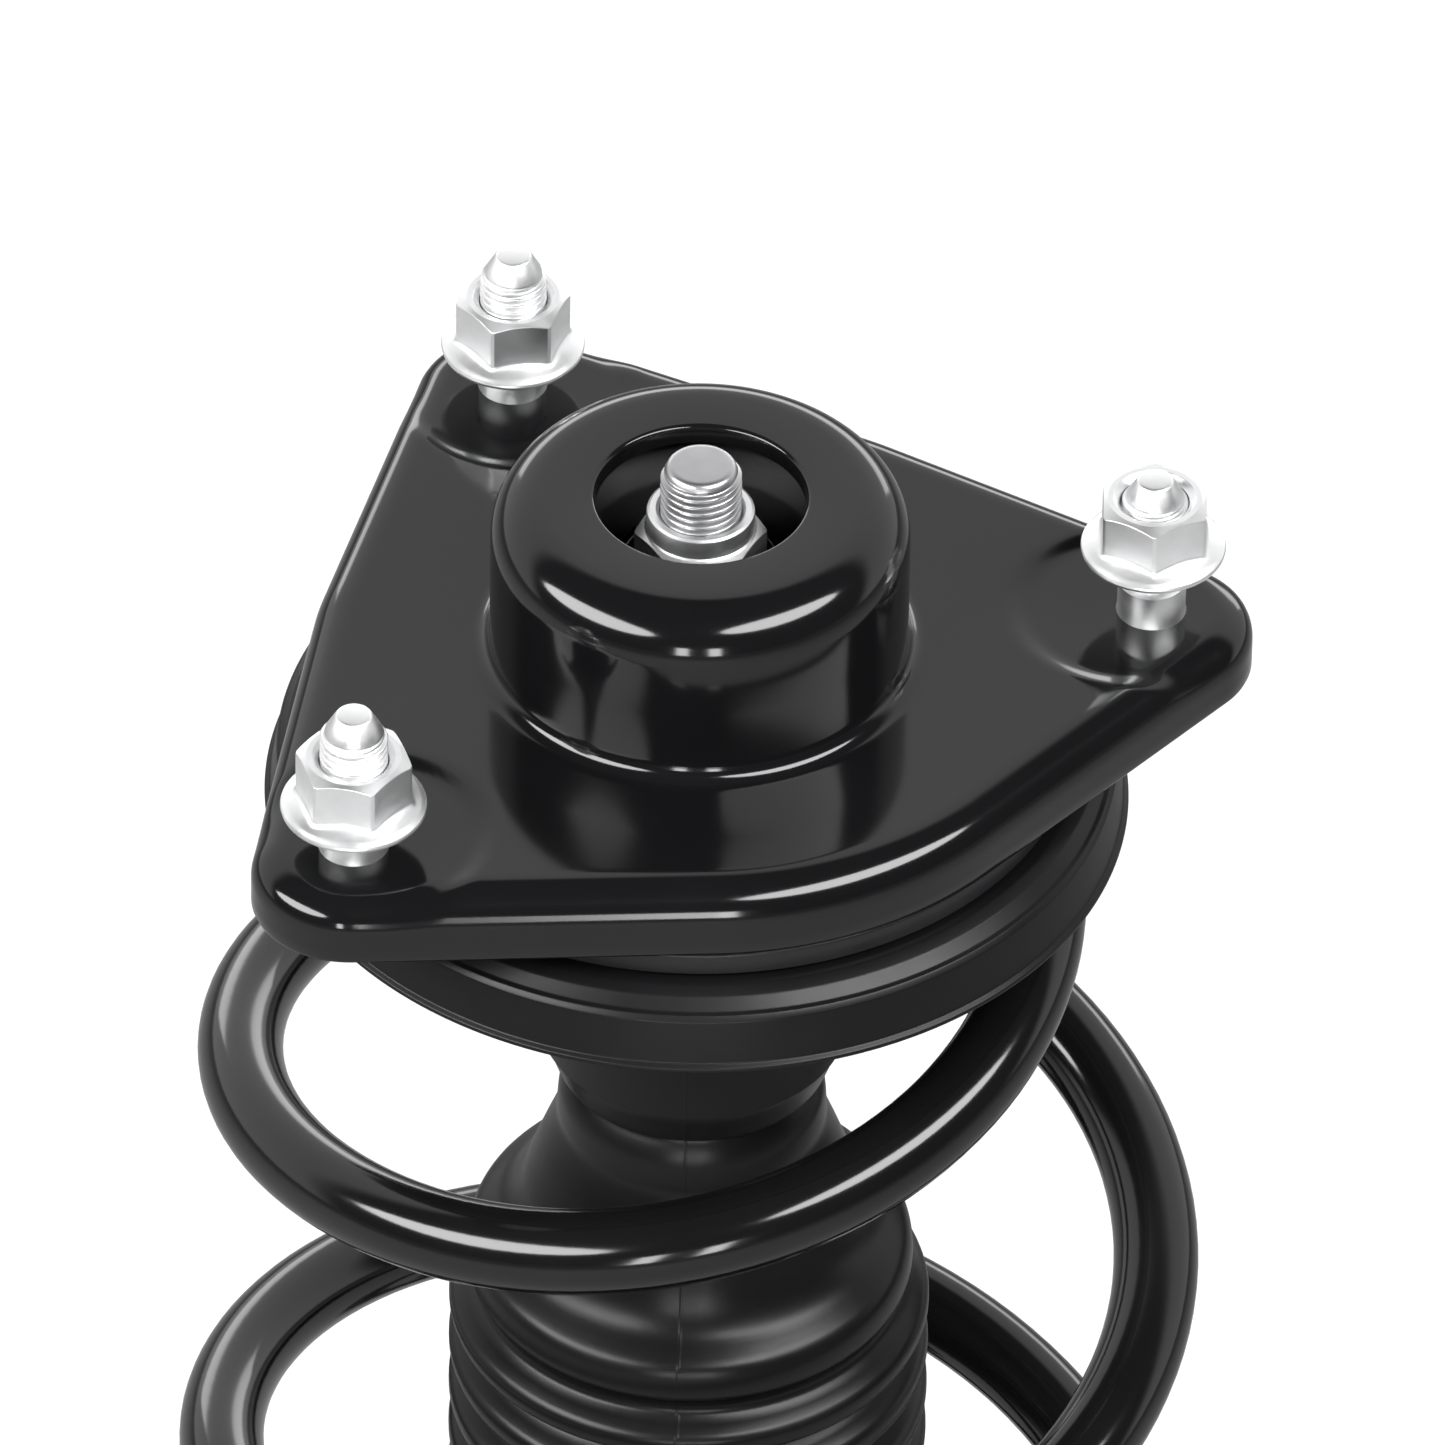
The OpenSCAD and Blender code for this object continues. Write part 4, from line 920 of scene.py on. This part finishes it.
class STRUT_OT_spring(bpy.types.Operator):
    """Builds the coil spring from round wire, with square-cut ends"""
    bl_idname = "strut.spring"
    bl_label = "Coil spring"

    def execute(self, context):
        sizes = context.scene.strut_spring
        wire, count = sizes.wire / MM / 2.0, sizes.ring_sides
        upper, first_coil = sizes.top_radius / MM, sizes.upper_radius / MM
        mid, lower = sizes.coil_radius / MM, sizes.bottom_radius / MM
        active = 360.0 * sizes.turns
        # The faceted CAD wire may stop a little short of the round one
        top, foot = min(top_of("coil_spring") - wire, -40.05), max(foot_of("coil_spring") + wire, -319.41)
        pitch, ramp_angle, step = (top - foot) / sizes.turns, 28.0, 3.0
        first, last = -COIL_LEAD, active + COIL_TAIL

        def ramp(phi):
            if phi < -ramp_angle:
                return 0.0
            return phi if phi > ramp_angle else (phi + ramp_angle) ** 2 / (4.0 * ramp_angle)

        def ease(phi, a, b):
            return (1.0 - math.cos(math.pi * min(1.0, max(0.0, (phi - a) / (b - a))))) / 2.0

        def centre(phi):
            r = upper + (first_coil - upper) * ease(phi, -30.0, 120.0) + (mid - first_coil) * ease(phi, 120.0, 420.0)
            r += (lower - mid) * ease(phi, active - 120.0, active + 30.0)
            z = top - pitch / 360.0 * (ramp(phi) - ramp(phi - active))
            return Vector((*polar(r, math.radians(COIL_START - phi)), z))

        rings, weights = [], []

        def ring_at(phi, radius, push=0.0):
            """A ring of the wire's section, pushed along the wire."""
            here = centre(phi)
            along = (centre(phi + 0.5) - centre(phi - 0.5)).normalized()
            out = Vector((*polar(1.0, math.radians(COIL_START - phi)), 0.0))
            side = (out - out.dot(along) * along).normalized()
            up = side.cross(along)
            here = here + along * push
            rings.append([tuple(here + radius * (math.cos(TAU * k / count) * side + math.sin(TAU * k / count) * up))
                          for k in range(count)])
            weights.append((top - centre(phi).z) / (top - foot))

        stations = [first + step * k for k in range(int((last - first) / step) + 1)]
        if stations[-1] < last - 0.5:
            stations.append(last)
        # Rounded edge of a square-cut end: (radius, distance along the wire)
        cut = ((0.001, 0.0), (wire - 0.9, 0.0), (wire - 0.25, 0.25), (wire, 0.9))
        for radius, push in cut:
            ring_at(first, radius, push)
        for phi in stations[1:-1]:
            ring_at(phi, wire)
        for radius, push in reversed(cut):
            ring_at(last, radius, -push)
        stretched_piece("coil_spring_wire", rings, weights, "coil", top, foot, "spring_paint", "coil_spring",
                        closed=False)
        return {"FINISHED"}


class STRUT_OT_bump_stop(bpy.types.Operator):
    """Builds the foam bump stop inside the boot"""
    bl_idname = "strut.bump_stop"
    bl_label = "Bump stop"

    def execute(self, context):
        top, foot = top_of("bump_stop"), foot_of("bump_stop")
        bore, wide, tip = 11.3, 19.38, 15.4
        section = lifted(top, [(bore, 0.0, 0.5), (wide, 0.0, 1.0), (wide, -19.0, 1.5), (tip + 1.0, -21.5, 1.2)])
        section += lifted(foot, [
            (tip + 1.0, 40.0, 2.0), (tip - 1.5, 36.0, 2.0), (tip + 1.0, 32.0, 2.0), (tip + 1.0, 24.0, 2.0),
            (tip - 2.0, 19.0, 2.0), (tip, 14.0, 2.0), (tip, 10.0, 2.0), (tip - 3.0, 4.0, 1.5), (tip - 4.0, 0.0, 1.0),
            (bore, 0.0, 0.6)])
        piece = turned("bump_stop_foam", rounded(section), finishes()["foam"], steps=96)
        place(piece, "mount", "foam", "bump_stop")
        return {"FINISHED"}


# ---------------------------------------------------------------- lower seat, tube and brackets

def bead(name, radius, z, size, *arcs):
    """A weld bead of overlapping ripples on a circle about the strut's axis; arcs are (from, to) in degrees."""
    sides, step, ripple = 10, 0.45, 2.4
    parts = []
    for begin, end in arcs:
        count = max(8, int(math.radians(end - begin) * radius / step))
        verts = []
        for i in range(count + 1):
            angle = math.radians(begin + (end - begin) * i / count)
            taper = min(1.0, 0.25 + 0.75 * math.sin(math.pi * min(1.0, min(i, count - i) / 5.0) / 2.0))
            swell = size * taper * (1.0 + 0.10 * math.cos(TAU * i * step / ripple))
            for k in range(sides):
                turn = TAU * k / sides
                verts.append((*polar(radius + swell * math.cos(turn), angle), z + swell * math.sin(turn)))
        parts.append((verts, capped_faces(count + 1, sides)))
    weld = finish_mesh(name, *joined(parts), finishes()["weld"], sharp=60.0, merge=False)
    return place(weld, "strut", "black_paint")


class STRUT_OT_lower_seat(bpy.types.Operator):
    """Builds the lower spring seat, its rubber pad and the weld that holds it"""
    bl_idname = "strut.lower_seat"
    bl_label = "Lower spring seat"

    def execute(self, context):
        made = finishes()
        spring = context.scene.strut_spring
        wire, turn_r = 6.35, 60.0
        rim, tube = side_of("lower_spring_seat"), 25.5
        floor = top_of("lower_spring_seat") - 9.0
        flat, pad_top = rim - 6.0, floor + 4.0
        section = rounded(lifted(floor, [
            (tube + PRESS, -18.0, 0.4), (tube + PRESS, -5.0, 0.5), (tube + 5.0, 0.0, 3.0), (flat, 0.0, 1.8),
            (rim - 3.0, 9.0, 0.7), (rim, 9.0, 0.7), (rim - 3.6, -3.0, 3.5), (tube + 6.4, -3.0, 3.5),
            (tube + 3.2, -6.6, 2.0), (tube + 3.2, -18.0, 0.7)]))
        seat = turned("lower_seat_pressing", section, made["paint"], steps=224)
        # Three drain holes through the floor
        drain = stacked(above(floor, [(-12.0, 0.0), (-12.0, 4.0), (8.0, 4.0), (8.0, 0.0)]), 40)
        drain_out = (tube + turn_r) / 2.0 - 3.0
        places = [polar(drain_out, math.radians(120 * k + 40)) for k in (1, 2, 3)]
        drains = joined([(moved(drain[0], x, y, 0.0), drain[1]) for x, y in places])
        cutter = finish_mesh("seat_drain_cutter", *drains, made["paint"])
        carve = seat.modifiers.new("Drains", "BOOLEAN")
        carve.object = cutter
        carve.solver = "EXACT"
        applied(seat).set_sharp_from_angle(angle=math.radians(33))
        bpy.data.objects.remove(cutter)
        place(seat, "strut", "black_paint", "lower_spring_seat")
        lip = turn_r - wire - 0.7
        section = [(lip - 5.0, floor, 0.4), (flat - 1.5, floor, 0.6), (flat - 1.5, pad_top, 1.0), (lip, pad_top, 0.8),
                   (lip - 1.0, pad_top + 6.0, 0.8), (lip - 4.0, pad_top + 7.0, 1.0), (lip - 5.0, pad_top + 6.0, 0.8)]
        turned_part("lower_pad_ring", section, "rubber", "strut", "black_rubber", "lower_pad", steps=192)
        # The stop that the wire's end meets
        end_angle = COIL_START - (360.0 * spring.turns + COIL_TAIL)
        gap = math.degrees(2.0 * math.asin(0.15 / turn_r)) * 2.0
        block = rounded([(lip - 1.0, floor + 1.0), (66.35, floor + 1.0), (66.35, pad_top + wire, 1.0),
                         (64.35, pad_top + 9.7, 1.5), (lip - 1.0, pad_top + 9.7, 1.0)])
        slices, sweep = 9, 8.0
        verts = []
        for i in range(slices):
            angle = math.radians(end_angle - gap - sweep * i / (slices - 1))
            verts += [(*polar(r, angle), z) for r, z in block]
        stop = finish_mesh("wire_end_stop", verts, capped_faces(slices, len(block)), made["rubber"])
        place(stop, "strut", "black_rubber")
        bead("seat_weld", tube + 1.4, floor - 17.6, 2.3, (0, 100), (120, 220), (240, 340))
        return {"FINISHED"}


class STRUT_OT_tube(bpy.types.Operator):
    """Builds the strut tube, its base and its top cap"""
    bl_idname = "strut.tube"
    bl_label = "Strut tube"

    def execute(self, context):
        tube, low, top = side_of("strut_tube"), foot_of("strut_tube"), top_of("strut_tube")
        section = [(tube, low)] + lifted(top, [
            (tube, -1.2, 0.8), (tube - 1.2, 0.0, 0.8), (tube - 5.8, 0.0, 0.4), (tube - 5.8, -2.3, 0.4),
            (tube - 2.3, -2.3, 0.3)]) + [(tube - 2.3, low)]
        turned_part("strut_tube_drawn", section, "paint", "strut", "black_paint", "strut_tube")
        foot, base, inside = foot_of("tube_base"), top_of("tube_base"), tube - 2.32
        section = lifted(foot, [(0.0, 0.0), (tube - 5.0, 0.0, 3.0), (tube, 4.0, 2.5), (tube, 6.0), (inside, 6.0),
                                (inside, 13.0, 1.0)]) + [(19.0, base, 1.0), (0.0, base)]
        turned_part("tube_base_cup", section, "paint", "strut", "black_paint", "tube_base", steps=144)
        cap, under = top_of("top_cap"), foot_of("top_cap")
        section = [(12.5, cap, 0.5), (tube + 0.6, cap, 0.9), (tube + 1.52, cap - 1.0, 0.6), (tube + 1.52, under, 0.4),
                   (tube + PRESS, under, 0.3), (tube + PRESS, cap - 1.5, 0.4), (12.5, cap - 1.5, 0.4)]
        turned_part("tube_top_cap", section, "nylon", "strut", "black_nylon", "top_cap")
        bead("base_weld", tube - 0.9, low + 0.2, 1.7, (0, 360))
        return {"FINISHED"}


def softened(node, name, material):
    """A copy of a CAD solid with its sharp edges rounded over, to stand for it."""
    piece = bpy.data.objects.new(name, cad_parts[node].data.copy())
    bpy.context.scene.collection.objects.link(piece)
    mesh = piece.data
    mesh.materials.clear()
    mesh.materials.append(material)
    work = bmesh.new()
    work.from_mesh(mesh)
    bmesh.ops.remove_doubles(work, verts=work.verts, dist=1e-6)
    bmesh.ops.dissolve_limit(work, angle_limit=math.radians(1.0), verts=work.verts, edges=work.edges)
    work.to_mesh(mesh)
    work.free()
    # The imported normals no longer fit the joined faces
    stored = mesh.attributes.get("custom_normal")
    if stored is not None:
        mesh.attributes.remove(stored)
    mesh.shade_smooth()
    mesh.set_sharp_from_angle(angle=math.radians(40))
    soften = piece.modifiers.new("Edges", "BEVEL")
    soften.width = 0.6 * MM
    soften.segments = 3
    soften.limit_method = "ANGLE"
    soften.angle_limit = math.radians(40)
    soften.harden_normals = True
    shape = applied(piece)
    shape.shade_smooth()
    shape.set_sharp_from_angle(angle=math.radians(14))
    return piece


class STRUT_OT_brackets(bpy.types.Operator):
    """Rounds the brackets' edges over and lays their weld beads"""
    bl_idname = "strut.brackets"
    bl_label = "Brackets"

    def execute(self, context):
        made = finishes()
        for node in ("knuckle_bracket", "link_bracket", "hose_bracket"):
            place(softened(node, node + "_pressing", made["paint"]), "strut", "black_paint", node)
        tube = side_of("strut_tube")
        bead("bracket_weld_top", tube + 1.3, top_of("knuckle_bracket") + 0.6, 2.2, (5, 175))
        bead("bracket_weld_foot", tube + 1.3, foot_of("knuckle_bracket") + 0.4, 1.9, (10, 170))
        bead("link_weld_top", tube + 0.9, top_of("link_bracket") + 0.3, 1.8, (-28, 28))
        bead("link_weld_foot", tube + 0.9, foot_of("link_bracket") - 0.3, 1.8, (-28, 28))
        bead("hose_weld_foot", tube + 0.9, foot_of("hose_bracket") - 0.2, 1.5, (155, 205))
        return {"FINISHED"}


# ---------------------------------------------------------------- studio

VIEW_FROM = Vector((-0.33434, -0.68793, 0.64418))
TARGET = Vector((0.00327, -0.00159, -0.01501))


def linked(name, data):
    """A new object in the scene for a mesh, a lamp or a camera."""
    thing = bpy.data.objects.new(name, data)
    bpy.context.scene.collection.objects.link(thing)
    return thing


def soft_box(name, bearing, rise, wide, tall, away, glow, roll=None):
    """An area lamp with a bearing to the right of the camera and a rise above the horizon, in degrees.

    A lamp with a roll is an oval, turned by that much about its own axis.
    """
    lamp = bpy.data.lights.new(name, "AREA")
    lamp.shape = "RECTANGLE" if roll is None else "ELLIPSE"
    lamp.size, lamp.size_y = wide, tall
    lamp.energy = glow * math.pi * wide * tall * (1.0 if roll is None else math.pi / 4.0)
    turn = math.atan2(VIEW_FROM.y, VIEW_FROM.x) + math.radians(bearing)
    up = math.radians(rise)
    out = Vector((math.cos(turn) * math.cos(up), math.sin(turn) * math.cos(up), math.sin(up)))
    facing = out.to_track_quat("Z", "Y").to_matrix() @ Matrix.Rotation(math.radians(roll or 0.0), 3, "Z")
    box = linked(name, lamp)
    box.location = TARGET + out * away
    box.rotation_euler = facing.to_euler()


def ray_kinds(tree):
    """Masks of the rays from the camera, and of those that a glossy or clear surface sends."""
    path = add_node(tree, "LightPath")
    sent = add_node(tree, "Math", {0: path["Is Glossy Ray"], 1: path["Is Transmission Ray"]}, operation="MAXIMUM")
    return path["Is Camera Ray"], sent["Value"]


def build_floor():
    """A wide sheet of paper under the strut, which glows by itself only for the camera and faintly in gloss."""
    size, z = 12.0, CAD_BOX[0].z - 0.0005
    mesh = bpy.data.meshes.new("studio_floor")
    mesh.from_pydata([(-size, -size, z), (size, -size, z), (size, size, z), (-size, size, z)], [], [(0, 1, 2, 3)])
    paper = bpy.data.materials.new("White paper")
    paper.use_nodes = True
    tree = paper.node_tree
    camera, sent = ray_kinds(tree)
    faint = add_node(tree, "Math", {0: sent, 1: 0.08}, operation="MULTIPLY")["Value"]
    glow = add_node(tree, "Math", {0: camera, 1: 0.74, 2: faint}, operation="MULTIPLY_ADD")["Value"]
    set_inputs(tree, tree.nodes["Principled BSDF"], {
        "Base Color": (0.26, 0.26, 0.26, 1.0), "Roughness": 0.9, "Specular IOR Level": 0.1,
        "Emission Color": WHITE, "Emission Strength": glow})
    mesh.materials.append(paper)
    linked("studio_floor", mesh)


def build_room(scene, studio):
    """The light round the strut: white for the camera, even for matt surfaces, and one pale wall in gloss."""
    scene.world = bpy.data.worlds.new("Studio room")
    scene.world.use_nodes = True
    tree = scene.world.node_tree
    tree.nodes.clear()
    camera, sent = ray_kinds(tree)
    # The far wall is white up to well above the strut, and the ceiling and the camera's side are dark
    level = Vector((VIEW_FROM.x, VIEW_FROM.y, 0.0)).normalized()
    tilt = math.radians(122.0)
    way = tuple(Vector((0.0, 0.0, math.cos(tilt))) - level * math.sin(tilt))
    where = add_node(tree, "TexCoord")["Generated"]
    aim = add_node(tree, "VectorMath", {0: where, 1: way}, operation="DOT_PRODUCT")["Value"]
    wall = add_node(tree, "MapRange", {"Value": aim, "From Min": -0.09, "From Max": 0.08, "To Min": 0.06,
                                       "To Max": studio.room_mirror}, interpolation_type="SMOOTHSTEP")["Result"]
    fill, mirror, white = (add_node(tree, "Background", {"Color": WHITE, "Strength": strength})["Background"]
                           for strength in (studio.room_fill, wall, 1.0))
    unseen = add_node(tree, "MixShader", {0: sent, 1: fill, 2: mirror})["Shader"]
    seen = add_node(tree, "MixShader", {0: camera, 1: unseen, 2: white})["Shader"]
    add_node(tree, "OutputWorld", {"Surface": seen})


class STRUT_OT_studio(bpy.types.Operator):
    """Builds the pale floor, the room, the lamps and the camera"""
    bl_idname = "strut.studio"
    bl_label = "Studio"

    def execute(self, context):
        scene = context.scene
        studio = scene.strut_studio
        build_floor()
        build_room(scene, studio)
        soft_box("left_soft_box", -60.0, 32.0, 2.9, 0.95, 2.5, studio.box_glow, roll=8.0)
        soft_box("right_soft_box", 53.0, 47.0, 2.6, 0.85, 2.5, studio.box_glow, roll=-8.0)
        soft_box("back_strip_lamp", 178.0, 9.0, 3.2, 0.5, 2.6, studio.back_glow)
        soft_box("left_strip_lamp", -8.0, 5.0, 0.26, 0.70, 2.5, studio.strip_glow)
        soft_box("right_strip_lamp", 8.0, 5.0, 0.26, 0.70, 2.5, studio.strip_glow)

        lens = bpy.data.cameras.new("studio_camera")
        lens.sensor_fit = "HORIZONTAL"
        lens.sensor_width = 36.0
        lens.lens = studio.lens
        lens.clip_start, lens.clip_end = 0.1, 50.0
        camera = linked("studio_camera", lens)
        aim_at = VIEW_FROM.normalized()
        turn = aim_at.to_track_quat("Z", "Y").to_matrix()
        roll = Matrix.Rotation(math.radians(0.93), 3, "Z")
        camera.matrix_world = Matrix.Translation(TARGET + aim_at * studio.distance) @ (turn @ roll).to_4x4()
        scene.camera = camera
        scene.view_settings.view_transform = "Standard"
        return {"FINISHED"}


class STRUT_PT_panel(bpy.types.Panel):
    """Lists the strut's builders and their sizes"""
    bl_idname = "STRUT_PT_panel"
    bl_label = "Strut Assembly"
    bl_space_type = "VIEW_3D"
    bl_region_type = "UI"
    bl_category = "Strut"

    def draw(self, context):
        layout = self.layout
        for title, (attribute, group) in SETTINGS.items():
            box = layout.box()
            box.label(text=title)
            for key in group.__annotations__:
                box.prop(getattr(context.scene, attribute), key)
        for operator in BUILDERS:
            layout.operator(operator.bl_idname)


SETTINGS = {
    "Plate": ("strut_plate", StrutPlateSizes),
    "Fasteners": ("strut_fasteners", StrutFastenerSizes),
    "Spring": ("strut_spring", StrutSpringSizes),
    "Finishes": ("strut_finishes", StrutFinishes),
    "Studio": ("strut_studio", StrutStudio),
}

BUILDERS = (
    STRUT_OT_finishes,
    STRUT_OT_mount_plate,
    STRUT_OT_studs,
    STRUT_OT_flange_nuts,
    STRUT_OT_rod,
    STRUT_OT_mount_bush,
    STRUT_OT_bearing_cap,
    STRUT_OT_upper_seat,
    STRUT_OT_boot,
    STRUT_OT_spring,
    STRUT_OT_bump_stop,
    STRUT_OT_lower_seat,
    STRUT_OT_tube,
    STRUT_OT_brackets,
    STRUT_OT_studio,
)


def register():
    for attribute, group in SETTINGS.values():
        bpy.utils.register_class(group)
        setattr(bpy.types.Scene, attribute, PointerProperty(type=group))
    for builder in (*BUILDERS, STRUT_PT_panel):
        bpy.utils.register_class(builder)


def unregister():
    for builder in reversed((*BUILDERS, STRUT_PT_panel)):
        bpy.utils.unregister_class(builder)
    for attribute, group in SETTINGS.values():
        delattr(bpy.types.Scene, attribute)
        bpy.utils.unregister_class(group)


def main():
    register()
    for operator in BUILDERS:
        family, name = operator.bl_idname.split(".")
        getattr(getattr(bpy.ops, family), name)()


if __name__ == "__main__":
    main()
